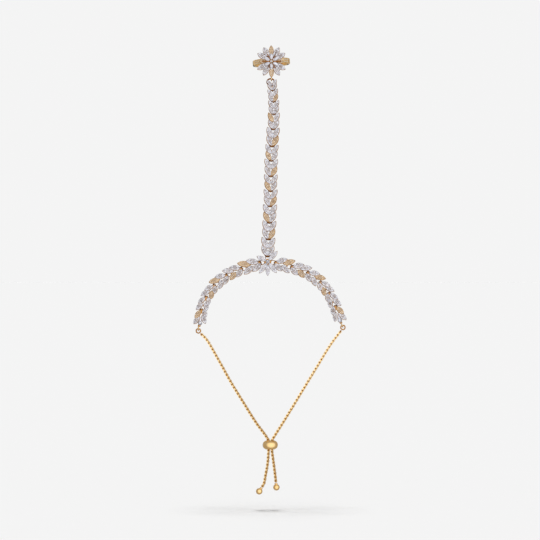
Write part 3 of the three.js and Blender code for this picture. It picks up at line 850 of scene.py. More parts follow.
def link_leaves(line, index, rows, base_offset, reach, width_rule, gold):
    """The leaves of one link; gold is the number of the gold one."""
    width = width_rule["least"] + width_rule["share"] * line.length(index)
    return [
        Leaf(
            line.on_link(index, row["base"], row["side"] * base_offset),
            line.on_link(index, row["tip"], row["side"] * row["reach"] * reach),
            width, LINK_BACK, LEAF_LEAN_DEG + random_turns.uniform(-LEAN_VARIES_DEG, LEAN_VARIES_DEG),
            gold == number)
        for number, row in enumerate(rows)]


print(f"finger chain: {finger_line.last} links, {finger_line.whole():.0f} mm")

# %% Make the finger chain
TOP_LINK_EYE = Vector((0.35, 0, -12.05))
TOP_LINK_TIP = 0.98  # the top link's leaves stop short of the connector
WIDE_EYE = (1.0 / EYE_RADIUS, 1, 1.0 / EYE_RADIUS)
UPWARDS = Vector((0, 0, 1))
SHORT_LEAVES = [{**row, "tip": min(row["tip"], TOP_LINK_TIP)} for row in FINGER_LEAVES]
for index, row in enumerate(FINGER_HINGES[:-1]):
    is_top = index == finger_line.last - 1
    layers = leaf_layers(link_leaves(
        finger_line, index, SHORT_LEAVES if is_top else FINGER_LEAVES,
        FINGER_BASE_OFFSET, row["reach"], FINGER_LEAF_WIDTH, row["gold"]))
    layers += link_hardware(finger_line, index, COLLAR_SIZE["finger"], has_staple=not is_top)
    if is_top:
        eye_seat = seat_at(TOP_LINK_EYE, HINGE_Y, UPWARDS, WIDE_EYE)
        layers.append(set_on_seats(hinge_eye, [eye_seat], polished_gold))
    finish_piece(f"finger_link_{index + 1:02d}", layers)


# %% [markdown]
# ## Round settings
# The end of each arm, the middle of the flower and the middle of the starburst hold one round stone
# each, in a cup with four claws, or six on the star. The cup is turned; the claws are short wires bent
# over the stone. Both are drawn with a radius of one and then sized, so that one pattern serves all
# four settings.

# %% A round cup with claws
CLAW_WIRE = 0.11
STONE_IN_CUP = 0.94  # the stone's radius as a share of the cup's
SIDEWAYS = Vector((1, 0, 0))
cup = on_bench("cup", turned("cup", [
    (0, 0), (0.75, 0), (0.82, 0.25), (0.78, 0.4), (1.0, 0.85), (1.02, 1.05), (0.94, 1.1), (0.88, 0.98),
    (0, 0.95)], segments=24))
claw_path = [Vector((x, 0, z)) for x, z in (
    (1.0, 0.5), (1.04, 0.95), (1.0, 1.16), (0.86, 1.24), (0.78, 1.2))]
claw = on_bench("claw", wire("claw", claw_path, CLAW_WIRE, sides=7))


def round_setting(point, back, radius, height, metal, claws=4):
    """The layers of one round setting and its clear stone, with its back on the plane y = back."""
    turn = facing_front(SIDEWAYS)
    place = Vector((point.x, back, point.z)) * MM
    size = (radius * MM, radius * MM, height * MM)
    stone_place = Vector((point.x, back - height, point.z)) * MM
    claw_seats = [
        (place, turn @ Quaternion((0, 0, 1), math.pi * (2 * i + 1) / claws), size) for i in range(claws)]
    return [
        set_on_seats(cup, [(place, turn, size)], metal),
        set_on_seats(claw, claw_seats, metal),
        set_on_seats(round_stone, [(stone_place, turn, (radius * STONE_IN_CUP * MM,) * 3)], clear_stone),
    ]


print("cup and claw:", len(cup.data.polygons), len(claw.data.polygons), "faces")

# %% [markdown]
# ## The arms
# Six links spread from the flower to each side. They are made like the finger chain's, but follow an
# arch, so the leaves fan out along it and those outside the bend are longer. One arm could be mirrored
# to give the other, but a chain never lies quite the same twice, so each has hinges of its own. The
# last link of each arm ends in a round stone and a gold eye.

# %% Leaves and hinges of the arms
ARM_LEAVES = [
    {"side": 1, "base": 0.06, "tip": 0.69, "reach": 1},
    {"side": -1, "base": -0.04, "tip": 0.53, "reach": 0.95},
    {"side": 1, "base": 0.48, "tip": 1.14, "reach": 1.1},
    {"side": -1, "base": 0.4, "tip": 1.0, "reach": 0.95},
]
ARM_HINGES = {
    "left": [
        {"x": -5.9, "z": -106.4, "reach": 3.3, "gold": 2},
        {"x": -15.6, "z": -109.6, "reach": 3.1, "gold": 3},
        {"x": -23.4, "z": -113.0, "reach": 3.1, "gold": 2},
        {"x": -29.9, "z": -118.3, "reach": 2.8, "gold": 3},
        {"x": -34.2, "z": -124.4, "reach": 2.7, "gold": None},
        {"x": -36.8, "z": -131.1, "reach": 2.9, "gold": 0},
        {"x": -37.8, "z": -138.3, "reach": 0, "gold": None},
    ],
    "right": [
        {"x": 1.9, "z": -106.4, "reach": 3.5, "gold": 2},
        {"x": 10.5, "z": -108.6, "reach": 3.2, "gold": 3},
        {"x": 18.9, "z": -111.6, "reach": 3.2, "gold": 2},
        {"x": 25.6, "z": -116.6, "reach": 2.8, "gold": 3},
        {"x": 30.2, "z": -122.4, "reach": 2.8, "gold": None},
        {"x": 33.7, "z": -129.3, "reach": 2.9, "gold": 0},
        {"x": 36.3, "z": -136.7, "reach": 0, "gold": None},
    ],
}
OUTSIDE = {"left": 1, "right": -1}  # the side of each arm's line that lies outside the arch
arm_lines = {side: HingeLine(rows) for side, rows in ARM_HINGES.items()}
ARM_ENDS = {
    "left": {"eye": (-38.7, -140.9), "ring": (-38.7, -142.35), "stone": 1.1},
    "right": {"eye": (37.35, -139.2), "ring": (37.9, -140.55), "stone": 1.2},
}
END_Y = -11.0
END_EYE_RADIUS = 1.2
END_STEM = 3.0
NECK_SHARE = 0.7  # the neck's length as a share of the way from the stone to the eye
ARM_BASE_OFFSET = 0.4
ARM_LEAF_WIDTH = {"least": 1.1, "share": 0.22}


def plane_point(pair):
    return Vector((pair[0], 0, pair[1]))


def bar_seat(start, end, y, width, height, share=1):
    """A seat that stretches the tie bar from one point towards another."""
    way = end - start
    return seat_at(start, y, way.normalized(), (way.length * share, width, height))


def arm_ending(line, side):
    """The round end stone with the stem behind it, its neck and the fixed eye."""
    end = ARM_ENDS[side]
    stone, eye, ring = line.at(line.last), plane_point(end["eye"]), plane_point(end["ring"])
    stem_start = line.at(line.last, along=-END_STEM)
    eye_size = (END_EYE_RADIUS / EYE_RADIUS, 1, END_EYE_RADIUS / EYE_RADIUS)
    eye_seat = seat_at(eye, END_Y, (ring - eye).normalized(), eye_size)
    stem_seat = bar_seat(stem_start, stone, LINK_BACK - 0.1, width=1.2, height=1.2)
    neck_seat = bar_seat(stone, eye, END_Y + 0.1, width=1.7, height=1, share=NECK_SHARE)
    return [
        *round_setting(stone, LINK_BACK, radius=end["stone"], height=1.25, metal=white_plate),
        set_on_seats(hinge_eye, [eye_seat], polished_gold),
        set_on_seats(tie_bar, [stem_seat], white_plate),
        set_on_seats(tie_bar, [neck_seat], painted_shade_gold),
    ]


print("arms:", {side: f"{line.whole():.0f} mm" for side, line in arm_lines.items()})

# %% Make the arms and their end rings
END_RING_RADIUS = 1.15
END_WIRE = 0.34
end_ring = on_bench("end_ring", wire(
    "end_ring", ring_path(END_RING_RADIUS, END_RING_RADIUS, 28), END_WIRE * MM, closed=True))
upright_ring = Quaternion((1, 0, 0, 0))
for side, line in arm_lines.items():
    leaf_rows = [{**row, "side": row["side"] * OUTSIDE[side]} for row in ARM_LEAVES]
    for index, row in enumerate(ARM_HINGES[side][:-1]):
        is_last = index == line.last - 1
        leaves = link_leaves(
            line, index, leaf_rows, ARM_BASE_OFFSET, row["reach"], ARM_LEAF_WIDTH, row["gold"])
        layers = leaf_layers(leaves)
        layers += link_hardware(line, index, COLLAR_SIZE["arm"], has_staple=not is_last)
        if is_last:
            layers += arm_ending(line, side)
        finish_piece(f"arm_{side}_link_{index + 1}", layers)
    x, z = ARM_ENDS[side]["ring"]
    ring_seat = (Vector((x, END_Y, z)) * MM, upright_ring, (1, 1, 1))
    finish_piece(f"end_ring_{side}", [set_on_seats(end_ring, [ring_seat], painted_shade_gold)])


# %% [markdown]
# ## The centre flower
# Five petals meet under a round stone: two point up, two down and outwards, and one straight down. Each
# is a leaf with its own two ends, because a flower made by turning one petal would look like a wheel. A
# low gold boss behind them holds the three hinges that everything else hangs from.

# %% Make the centre flower
FLOWER_CENTRE = Vector((-1.96, 0, -105.7))
FLOWER_PETALS = [
    {"from": (-2.5, -105.3), "to": (-7.9, -102.9), "width": 2.6},
    {"from": (-1.5, -105.3), "to": (3.3, -100.1), "width": 2.6},
    {"from": (-2.1, -106.3), "to": (-6.5, -112.0), "width": 2.6},
    {"from": (-1.5, -106.3), "to": (2.8, -111.8), "width": 2.6},
    {"from": (-1.96, -107.0), "to": (-1.96, -113.3), "width": 2.3},
]
FLOWER_BACK = -12.3  # the petals stand in front of the links
PETAL_LEAN_DEG = 6
boss = on_bench("boss", turned("boss", [
    (0, -2.2), (1.45, -2.2), (1.6, -2.0), (1.6, -0.9), (1.3, -0.5), (1.3, 0.2), (1.6, 0.6), (0, 0.8)]))
flower_layers = leaf_layers([
    Leaf(plane_point(row["from"]), plane_point(row["to"]), row["width"], FLOWER_BACK, PETAL_LEAN_DEG)
    for row in FLOWER_PETALS])
flower_layers += round_setting(
    FLOWER_CENTRE, FLOWER_BACK - 0.5, radius=1.05, height=1.2, metal=white_plate)
boss_seat = seat_at(FLOWER_CENTRE, FLOWER_BACK, SIDEWAYS, (MM, MM, MM))
flower_layers.append(set_on_seats(boss, [boss_seat], painted_shade_gold))
for line in (finger_line, *arm_lines.values()):
    pin_seat = seat_at(line.at(0, along=HINGE_SHIFT), HINGE_Y, -line.ahead(0))
    tongue_start = line.at(0, along=HINGE_SHIFT - LUG_LENGTH)
    tongue_seat = bar_seat(tongue_start, FLOWER_CENTRE, HINGE_Y, width=1.9, height=1.3)
    flower_layers += [
        set_on_seats(staple, [pin_seat], painted_shade_gold),
        set_on_seats(tie_bar, [tongue_seat], painted_shade_gold)]
finish_piece("centre_flower", flower_layers)

# %% [markdown]
# ## The ring
# The band is a plain hoop with softened edges, bent round the finger. A torus would be round in section,
# so the real section is drawn and carried round in a circle instead. Half of it is enough, because the
# band is the same above and below. The whole hoop then leans a little to one side.

# %% The band
BORE_RADIUS = 8.65
BAND_OUTER = 9.95
BAND_LEAN = Matrix.Rotation(math.radians(-3.8), 4, "Y")
BAND_PLACE = Matrix.Translation((0, 0, BAND_RISE * MM)) @ BAND_LEAN
BAND_STEPS = 96
UPPER_SECTION = [  # radius and height, from the bore to the outside
    (BORE_RADIUS, 1.1), (BORE_RADIUS + 0.12, 1.4), (BORE_RADIUS + 0.4, 1.5),
    (BAND_OUTER - 0.35, 1.5), (BAND_OUTER - 0.08, 1.36), (BAND_OUTER, 1.1)]


def band_mesh():
    section = [(radius, -z) for radius, z in UPPER_SECTION] + UPPER_SECTION[::-1]
    angles = [2 * math.pi * i / BAND_STEPS for i in range(BAND_STEPS)]
    outlines = [[
        (radius * math.cos(angle) * MM, radius * math.sin(angle) * MM, z * MM)
        for radius, z in section] for angle in angles]
    return moved(raised("band", outlines, smooth_below_deg=50, closed=True), BAND_PLACE)


band = band_mesh()
print(f"band: {2 * BORE_RADIUS:.1f} mm bore, {len(band.polygons)} faces")

# %% [markdown]
# The band's shoulders, the stretch on each side of the head, carry two rows of small stones sunk in the
# gold. They could be cut into the band, but stones set on its surface hide the cuts anyway, so each row
# is only a list of angles counted from the front.

# %% Seats on the shoulders
SHOULDER_DEG = {"first": 33, "last": 61, "step": 5.6}
SHOULDER_STONE = {"across": 0.52, "size": 0.4}
SHOULDER_PRONGS = [{"across": 0.98, "size": 0.14}, {"across": 0.1, "size": 0.12}]


def band_seat(angle, row, shape):
    """A seat on the outside of the band, its angle counted from the front."""
    out = Vector((math.sin(angle), -math.cos(angle), 0))
    flat = Matrix((UPWARDS, out.cross(UPWARDS), out)).transposed()
    place = BAND_PLACE @ (Vector((out.x * BAND_OUTER, out.y * BAND_OUTER, row * shape["across"])) * MM)
    return place, (BAND_PLACE.to_3x3() @ flat).to_quaternion(), (shape["size"] * MM,) * 3


def shoulder_seats():
    """Seats of the shoulder stones and of the prongs between them."""
    stones, prongs = [], []
    count = int((SHOULDER_DEG["last"] - SHOULDER_DEG["first"]) / SHOULDER_DEG["step"]) + 1
    for side in (-1, 1):
        for i in range(count):
            angle = math.radians(SHOULDER_DEG["first"] + SHOULDER_DEG["step"] * i)
            between = angle + math.radians(SHOULDER_DEG["step"] / 2)
            for row in (-1, 1):
                stones.append(band_seat(side * angle, row, SHOULDER_STONE))
                prongs += [band_seat(side * between, row, prong) for prong in SHOULDER_PRONGS]
    return stones, prongs


shoulder_stones, shoulder_prongs = shoulder_seats()
print("on the shoulders:", len(shoulder_stones), "stones,", len(shoulder_prongs), "prongs")

# %% [markdown]
# ## The starburst head
# Twelve petals stand round the head, one every thirty degrees, gold at the four quarters and white
# between. Inside them six marquise stones make a rosette round one small round stone, with a gold bar
# between each two. A turned gallery carries it all on the band. The petals are the same leaves as
# everywhere else, and all places are given by a radius and an angle, as on a clock.

# %% Shapes for the starburst
HEAD_Z = 0.4
HEAD_BACK = -10.2
STEP_DEG = 30
gallery = on_bench("gallery", turned("gallery", [
    (0, -1.15), (3.0, -1.15), (3.2, -1.0), (3.55, -0.4), (3.4, -0.25), (3.65, 0.0), (3.7, 0.5),
    (3.45, 1.1), (0, 1.15)], segments=48))
marquise_stone = cut_stone("marquise_stone", [
    (1.0, 0.5, 0.0), (0.84, 0.43, 0.14), (0.5, 0.26, 0.26)], culet=-0.3, count=12)
gold_bar = on_bench("gold_bar", wire("gold_bar", [
    Vector((x, 0, 0)) for x in (-1.0, -0.9, 0.9, 1.0)], 0.17, sides=8))


def head_point(radius, angle_deg):
    """A point of the head, its angle counted clockwise from the top."""
    angle = math.radians(angle_deg)
    return Vector((radius * math.sin(angle), 0, HEAD_Z + radius * math.cos(angle)))


def head_seat(radius, angle_deg, y, size=(1, 1, 1)):
    ahead = Vector((math.sin(math.radians(angle_deg)), 0, math.cos(math.radians(angle_deg))))
    return seat_at(head_point(radius, angle_deg), y, ahead, tuple(number * MM for number in size))


print("starburst shapes:", [thing.name for thing in (gallery, marquise_stone, gold_bar)])

# %% The twelve petals
PETAL_FOOT = 2.7
PETAL_TIP = {"long": 8.6, "short": 6.4}
PETAL_WIDTH = {"white": 3.0, "gold": 2.6}
SIDE_PETALS = (3, 9)  # short, so that the band's shoulders stay free
PETAL_STEP = 0.15  # every other petal stands this much further forward
STAR_LEAN_DEG = 8


def petal(number):
    angle = STEP_DEG * number
    is_gold = number % 3 == 0
    return Leaf(
        head_point(PETAL_FOOT, angle),
        head_point(PETAL_TIP["short" if number in SIDE_PETALS else "long"], angle),
        PETAL_WIDTH["gold" if is_gold else "white"],
        HEAD_BACK - PETAL_STEP * (number % 2), STAR_LEAN_DEG, gold=is_gold)


petals = [petal(number) for number in range(12)]
print("petals:", len(petals), "and of gold:", sum(petal.gold for petal in petals))

# %% [markdown]
# The ring is soldered from all of these: the band, the petals, the gallery, the rosette of stones and
# bars, the stones of the shoulders, the middle stone, and a small eye below the head with the bar that
# holds it. The connector hangs in that eye. It is all one piece, so its layers go into one list.

# %% Make the ring
STONE_SIZE = (1.75, 2.1, 1.7)
PRONG_SIZE = (0.22, 0.22, 0.3)
EYE_BAR_SIZE = (6.2, 1.1, 1.3)
BAR_SIZES = [(1.5, 1.0, 1.2), (2.1, 2.0, 1.6), (1.5, 1.4, 1.2)]  # strongest across the finger
RING_EYE = Vector((0, 0, -8.65))
EYE_BAR = Vector((0, 0, -7.75))
sixths = [2 * STEP_DEG * i for i in range(6)]
stone_seats = [head_seat(2.6, angle, y=HEAD_BACK - 1.45, size=STONE_SIZE) for angle in sixths]
prong_seats = [head_seat(3.95, angle, y=HEAD_BACK - 1.4, size=PRONG_SIZE) for angle in sixths]
bar_seats = [
    head_seat(2.9, angle + STEP_DEG, y=HEAD_BACK - 1.6, size=size)
    for angle, size in zip(sixths, BAR_SIZES * 2)]
ring_eye_seat = seat_at(RING_EYE, HINGE_Y, UPWARDS, WIDE_EYE)
eye_bar_seat = seat_at(EYE_BAR, HEAD_BACK + 0.1, UPWARDS, EYE_BAR_SIZE)
finish_piece("ring", [
    (band, polished_gold),
    *leaf_layers(petals),
    # Gallery and bars are in deep gold, whose darkness is painted shade.
    set_on_seats(gallery, [head_seat(0, 0, HEAD_BACK)], painted_deep_shade_gold),
    set_on_seats(marquise_stone, stone_seats, large_stone),
    set_on_seats(gold_bar, bar_seats, painted_deep_shade_gold),
    set_on_seats(bead_prong, prong_seats, polished_gold),
    set_on_seats(round_stone, shoulder_stones, band_stone),
    set_on_seats(bead_prong, shoulder_prongs, polished_gold),
    set_on_seats(hinge_eye, [ring_eye_seat], polished_gold),
    set_on_seats(tie_bar, [eye_bar_seat], polished_gold),
    *round_setting(
        head_point(0, 0), HEAD_BACK - 0.9, radius=0.78, height=0.85, metal=polished_gold, claws=6),
])

# %% [markdown]
# ## The connector
# One loose jump ring, wider than it is high, joins the starburst to the chain. It is a wire bent into
# an oval that passes through both eyes, so a closed wire along an oval path is all that it takes. It
# lies low between the leaves, where little light reaches, and so it is deep gold.

# %% Make the connector
CONNECTOR_PLACE = Vector((-0.35, HINGE_Y, -10.35))
CONNECTOR_HALF = (1.95, 1.75)
CONNECTOR_WIRE = 0.4
connector = wire("connector", ring_path(*CONNECTOR_HALF, 40), CONNECTOR_WIRE * MM, closed=True)
finish_piece("ring_connector", [
    (moved(connector, Matrix.Translation(CONNECTOR_PLACE * MM)), painted_deep_shade_gold)])


# %% [markdown]
# ## The box chains
# A box chain is a row of small square links, each a strip of metal folded into a box and turned a
# quarter against the last. Bending one long row of links would squash those on the inside of a curve.
# A tree that steps along a path and puts one stiff link on each step does not, and it is what Geometry
# Nodes does best. Its inputs are the link, the pitch, the turn from link to link and the finish.

# %% One box link
LINK_OUTER = 0.72  # half the link's length and width
LINK_DEPTH = 0.32
LINK_WALL = 0.2
LINK_CORNER = {"outside": 0.22, "inside": 0.1}


def rounded_square(half, corner, y):
    points = []
    for quarter in range(4):
        for step in range(3):
            angle = math.pi / 2 * quarter + math.pi / 4 * step
            centre_x = (half - corner) * (1 if quarter in (0, 3) else -1)
            centre_z = (half - corner) * (1 if quarter in (0, 1) else -1)
            points.append(((centre_x + corner * math.cos(angle)) * MM, y * MM,
                           (centre_z + corner * math.sin(angle)) * MM))
    return points


box_link = on_bench("box_link", raised("box_link", [
    rounded_square(LINK_OUTER, LINK_CORNER["outside"], -LINK_DEPTH),
    rounded_square(LINK_OUTER, LINK_CORNER["outside"], LINK_DEPTH),
    rounded_square(LINK_OUTER - LINK_WALL, LINK_CORNER["inside"], LINK_DEPTH),
    rounded_square(LINK_OUTER - LINK_WALL, LINK_CORNER["inside"], -LINK_DEPTH),
], smooth_below_deg=50, closed=True))
print("box link:", len(box_link.data.polygons), "faces")

# %% The chain tree
def chain_tree():
    bench = SettingBench("box_chain")
    path = bench.input("Path", "Geometry")
    link = bench.input("Link", "Object")
    pitch = bench.input("Pitch", "Float")
    turn = bench.input("Turn per link", "Float")
    first_turn = bench.input("First turn", "Float")
    finish = bench.input("Finish", "Material")
    steps = bench.node(
        "GeometryNodeCurveToPoints", {"mode": "LENGTH"}, {"Curve": path, "Length": pitch}, output="Points")
    number = bench.node("GeometryNodeInputIndex")
    spin = bench.node("FunctionNodeAxisAngleToRotation", {}, {
        "Axis": (0, 0, 1), "Angle": number * turn + first_turn})
    aim = bench.node("FunctionNodeAlignRotationToVector", {"axis": "Z"}, {"Vector": steps.also("Tangent")})
    roll = bench.node("FunctionNodeRotateRotation", {"rotation_space": "LOCAL"}, {
        "Rotation": aim, "Rotate By": spin})
    bench.set_copies(link, finish, Points=steps, Rotation=roll)
    return bench


BOX_CHAIN = chain_tree()
print("chain tree inputs:", list(BOX_CHAIN.identifiers))

# %% [markdown]
# The two chains start at the end rings, come together in the slider bead, pass through it side by side
# and hang below it as two tails. A simulation could let them fall, but their ways are simple, almost
# straight to the bead and then a little apart. So each follows a row of points chosen along it, from
# ring to tail.

# %% The ways of the wrist chains
BEAD_CENTRE = Vector((-0.6, END_Y, -202.8))
CHAIN_OFFSET = 0.88
BEAD_LEFT = BEAD_CENTRE.x - CHAIN_OFFSET
BEAD_RIGHT = BEAD_CENTRE.x + CHAIN_OFFSET
WRIST_CHAINS = {
    "left": [
        {"x": -37.6, "z": -143.7}, {"x": -34.6, "z": -146.6}, {"x": -28.1, "z": -157.6},
        {"x": -21.4, "z": -169.6}, {"x": -14.6, "z": -180.7}, {"x": -8.0, "z": -191.2},
        {"x": -3.1, "z": -197.8}, {"x": BEAD_LEFT, "z": -200.7}, {"x": BEAD_LEFT, "z": -203.0},
        {"x": BEAD_LEFT, "z": -205.4}, {"x": -2.0, "z": -212.6}, {"x": -3.1, "z": -219.0},
        {"x": -4.0, "z": -223.4}, {"x": -5.1, "z": -225.2},
    ],
    "right": [
        {"x": 37.05, "z": -142.1}, {"x": 31.3, "z": -149.8}, {"x": 24.6, "z": -160.7},
        {"x": 17.8, "z": -171.9}, {"x": 11.0, "z": -183.1}, {"x": 5.6, "z": -191.9},
        {"x": 1.8, "z": -197.9}, {"x": BEAD_RIGHT, "z": -200.7}, {"x": BEAD_RIGHT, "z": -203.0},
        {"x": BEAD_RIGHT, "z": -205.4}, {"x": 1.2, "z": -212.6}, {"x": 2.0, "z": -218.8},
        {"x": 2.4, "z": -222.7},
    ],
}
chain_lines = {side: HingeLine(rows) for side, rows in WRIST_CHAINS.items()}
print("wrist chains:", {side: f"{line.whole():.0f} mm" for side, line in chain_lines.items()})

# %% [markdown]
# A link may not reach past the end of its chain, or it would cut into the end ring or the ball's neck,
# so the path on which links are set stops at least half a link short of both ends. The windows of a box
# chain are never empty, because each link passes through the next. Modelling that would take a folded
# strip for every link. A plain wire through the middle of the chain looks the same from outside, and its
# dark gold is the shade inside the chain, painted on.

# %% Make the wrist chains
STEPS_BETWEEN = 8
LINK_PITCH = 0.96
LINK_TURN_DEG = 90.15  # a quarter turn and the chain's own slow twist
FIRST_TURN_DEG = 10
CORE_RADIUS = 0.4


def chain_path(places):
    """A curve along a chain, without the places that lie less than half a link from either end."""
    curve = bpy.data.curves.new("chain_path", "CURVE")
    curve.dimensions = "3D"
    spline = curve.splines.new("POLY")
    ends = places[0], places[-1]
    inside = [place for place in places if min((place - end).length for end in ends) > LINK_OUTER]
    spline.points.add(len(inside) - 1)
    for point, place in zip(spline.points, inside):
        point.co = (place.x * MM, END_Y * MM, place.z * MM, 1)
    return on_bench("chain_path", curve)


def chain_core(places):
    """The wire in painted shade, which runs on to both ends."""
    path = [place * MM + Vector((0, END_Y * MM, 0)) for place in places]
    return wire("core", path, CORE_RADIUS * MM, sides=6)


for side, line in chain_lines.items():
    places = [line.at(i / STEPS_BETWEEN) for i in range(line.last * STEPS_BETWEEN + 1)]
    links = BOX_CHAIN.run(
        chain_path(places), Link=box_link, Pitch=LINK_PITCH * MM, Finish=polished_gold,
        Turn_per_link=math.radians(LINK_TURN_DEG), First_turn=math.radians(FIRST_TURN_DEG))
    finish_piece(f"wrist_chain_{side}", [
        (links, polished_gold), (chain_core(places), painted_deep_shade_gold)])


# %% [markdown]
# ## Slider bead and ball ends
# The bead grips both chains and sets the length round the wrist. It is a flattened ball with one oval
# hole from top to bottom, wide enough for the two chains side by side, and a soft lip round each mouth.
# The hole could be cut with a Boolean, but its edges come out ragged. It is cleaner to run the outlines
# up the outside, over the lip and back down through the hole, so that the skin closes on itself.

# %% Make the slider bead
BEAD_WIDTH = 4.05  # half the bead's width
BEAD_HEIGHT = 2.45  # how high the shoulders would rise, if they went on to a pole
BEAD_SHOULDER_DEG = 62
BEAD_ROUNDNESS = 0.55  # below 1 the sides stand steeper than a ball's
BEAD_HOLE = 1.2  # the oval hole is this far round the middle of each chain
BEAD_LIP = [{"out": 0.3, "z": 2.38}, {"out": 0.12, "z": 2.42}, {"out": 0, "z": 2.3}]
BEAD_POINTS = 48
BEAD_STEPS = 14


def bead_ring(radius, z, apart=0):
    """A circle; or, with its two halves moved apart sideways, an oval."""
    angles = [2 * math.pi * (i + 0.5) / BEAD_POINTS for i in range(BEAD_POINTS)]
    return [((math.copysign(apart, math.cos(a)) + radius * math.cos(a)) * MM,
             radius * math.sin(a) * MM, z * MM) for a in angles]


def bead_mesh():
    outside = []
    for i in range(BEAD_STEPS + 1):
        angle = math.radians(BEAD_SHOULDER_DEG * (2 * i / BEAD_STEPS - 1))
        radius = BEAD_WIDTH * math.cos(angle) ** BEAD_ROUNDNESS
        outside.append(bead_ring(radius, BEAD_HEIGHT * math.sin(angle)))
    upper = [bead_ring(BEAD_HOLE + row["out"], row["z"], CHAIN_OFFSET) for row in BEAD_LIP]
    lower = [bead_ring(BEAD_HOLE + row["out"], -row["z"], CHAIN_OFFSET) for row in reversed(BEAD_LIP)]
    return raised("bead", outside + upper + lower, smooth_below_deg=50, closed=True)


finish_piece("slider_bead", [
    (moved(bead_mesh(), Matrix.Translation(BEAD_CENTRE * MM)), polished_gold)])


# %% [markdown]
# The balls stop the tails from slipping out of the bead. Each has a short neck with a rolled edge, in
# which the last link is held. Ball and neck are turned in one, so a single profile makes both, and the
# finished ball is then aimed along the end of its chain.

# %% Make the ball ends
BALL_RADIUS = 1.72
BALL_CENTRE = 2.576  # from the end of the chain
BALL_FROM_DEG = -58
BALL_STEPS = 14
NECK_PROFILE = [(0, 0.3), (0.6, 0.3), (0.85, 0.38), (0.85, 0.55), (0.68, 0.68), (0.68, 0.95), (0.9, 1.08)]


def ball_end(line):
    """A ball and its neck, hung on the end of a chain's line."""
    start, ahead = line.at(line.last), line.ahead(line.last)
    profile = list(NECK_PROFILE)
    for i in range(BALL_STEPS + 1):
        angle = math.radians(BALL_FROM_DEG + (90 - BALL_FROM_DEG) * i / BALL_STEPS)
        profile.append((BALL_RADIUS * math.cos(angle), BALL_CENTRE + BALL_RADIUS * math.sin(angle)))
    mesh = turned("ball", [(radius * MM, height * MM) for radius, height in profile])
    place = Vector((start.x, END_Y, start.z)) * MM
    return moved(mesh, Matrix.LocRotScale(place, ahead.to_track_quat("Z", "Y"), None))


for side, line in chain_lines.items():
    finish_piece(f"ball_end_{side}", [(ball_end(line), polished_gold)])


# %% [markdown]
# ## Clear the bench
# The master shapes were only patterns to copy from, and each still lies at the middle of the scene.
# Nothing needs them any more, so they leave it, and only finished pieces are handed over.

# %% Remove the patterns
patterns = (
    leaf_wall, leaf_plate, round_stone, bead_prong, hinge_eye, staple, collar, foot, tie_bar, cup, claw,
    end_ring, boss, gallery, marquise_stone, gold_bar, box_link)
for pattern in patterns:
    bpy.data.objects.remove(pattern)
print("patterns cleared away:", len(patterns))

# %% [markdown]
# ## Studio
# Jewellery is shown in a tent of white cloth. A wide pale floor runs out under the piece, one soft lamp
# above puts a small shadow under the tails, and the tent itself is the world: plain and even behind the
# piece, but with a bright opening in front and darker sides for the metal to mirror, because gold that
# reflects only white looks like paper. Cards and lamps could be set up one by one for that, but a world
# that answers each kind of ray in its own way is quicker to balance and casts no stray shadows.

# %% The pale floor
FLOOR_Z = -0.2387  # in metres, as all of the studio is
FLOOR_REACH = 20.0


def floor_finish():
    bench = material_bench("pale_floor")
    grain = bench.noise(size_mm=6.0)
    return bench.finish(
        Base_Color=bench.mix(grain, (0.885,) * 3, (0.875,) * 3),
        Specular_IOR_Level=0.0,
        Roughness=1.0)


def pale_floor():
    corners = [(x * FLOOR_REACH, y * FLOOR_REACH, FLOOR_Z) for x, y in ((-1, -1), (1, -1), (1, 1), (-1, 1))]
    mesh = bpy.data.meshes.new("pale_floor")
    mesh.from_pydata(corners, [], [(0, 1, 2, 3)])
    mesh.materials.append(floor_finish())
    floor = on_bench("pale_floor", mesh)
    floor.visible_glossy = False


pale_floor()

# %% The lamp above
LAMP_POWER = 2.215
LAMP_WIDTH_DEG = 22
lamp_data = bpy.data.lights.new("top_lamp", "SUN")
lamp_data.energy = LAMP_POWER
lamp_data.angle = math.radians(LAMP_WIDTH_DEG)
lamp = on_bench("top_lamp", lamp_data)
lamp.visible_glossy = False
print(f"lamp: {LAMP_WIDTH_DEG} degrees wide, so its shadows are soft")

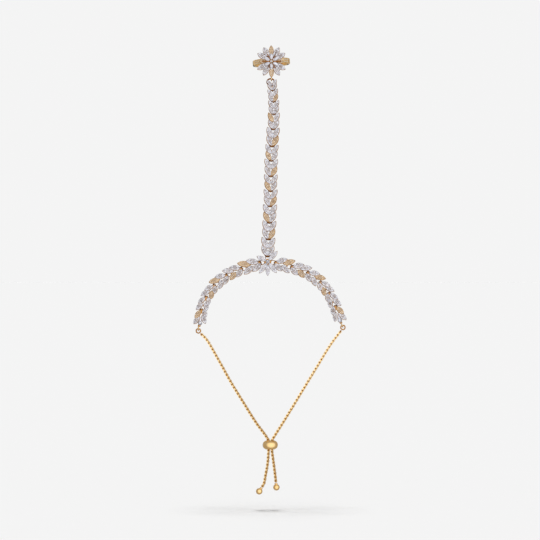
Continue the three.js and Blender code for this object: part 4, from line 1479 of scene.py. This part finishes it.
# %% The white tent
TENT_STRENGTH = 1.3
BACKDROP = (0.697,) * 3
TENT_FILL = (0.25,) * 3
MIRRORED = [  # from behind the piece to the front, between the black and white that every ramp starts with
    (0.0, (0.66, 0.63, 0.60)),
    (0.07, (0.52, 0.49, 0.46)),
    (0.15, (0.27, 0.23, 0.19)),
    (0.26, (0.42, 0.38, 0.34)),
    (0.42, (0.36, 0.32, 0.28)),
    (0.58, (0.37, 0.33, 0.29)),
    (0.68, (0.52, 0.49, 0.45)),
    (0.80, (0.82, 0.81, 0.79)),
    (0.93, (0.96, 0.96, 0.94)),
]
OPENING = {"right": 0.13, "up": 0.07}  # how far the bright opening leans from straight in front


def white_tent():
    """The world: a backdrop, an even fill, and for mirrors a bright front between darker sides."""
    bench = FinishBench(bpy.data.worlds.new("white_tent"), "Background", place="Generated")
    way = bench.node("ShaderNodeSeparateXYZ", {}, {0: bench.place})
    across, depth, height = (way.also(axis) for axis in "XYZ")
    front = 0.5 - depth * 0.5 + across * OPENING["right"] + height * OPENING["up"]
    mirrored_tent = bench.node("ShaderNodeValToRGB", {}, {"Fac": front}, stops=MIRRORED)
    ray = bench.node("ShaderNodeLightPath")
    plain = bench.mix(ray.also("Is Camera Ray"), TENT_FILL, BACKDROP)
    seen = bench.mix(ray.also("Is Glossy Ray"), plain, mirrored_tent)
    return bench.finish(Color=seen, Strength=TENT_STRENGTH)


bpy.context.scene.world = white_tent()
bpy.context.scene.view_settings.view_transform = "Standard"
print("tones of the mirrored tent:", len(MIRRORED))

# %% [markdown]
# ## Camera
# The piece is seen straight from the front, centred near the flower. A short lens close by would draw
# the nearest parts too large. A long lens from further away draws almost without perspective, so the
# camera stands back just far enough for the width of the view.

# %% The camera
VIEW_WIDTH = 0.2862  # at the depth of the leaves
LENS = 135
SENSOR = 36
DISTANCE = VIEW_WIDTH * LENS / SENSOR
TARGET = Vector((-0.00074, -0.011, -0.1111))
camera_data = bpy.data.cameras.new("camera")
camera_data.lens = LENS
camera_data.sensor_width = SENSOR
camera = on_bench("camera", camera_data)
camera.location = TARGET + Vector((0, -DISTANCE, 0))
camera.rotation_euler = (math.pi / 2, 0, 0)
bpy.context.scene.camera = camera
print(f"camera: {DISTANCE:.2f} m in front")

# %% [markdown] The jewelled model must stay the size of the solid one, apart from a little at its edges.
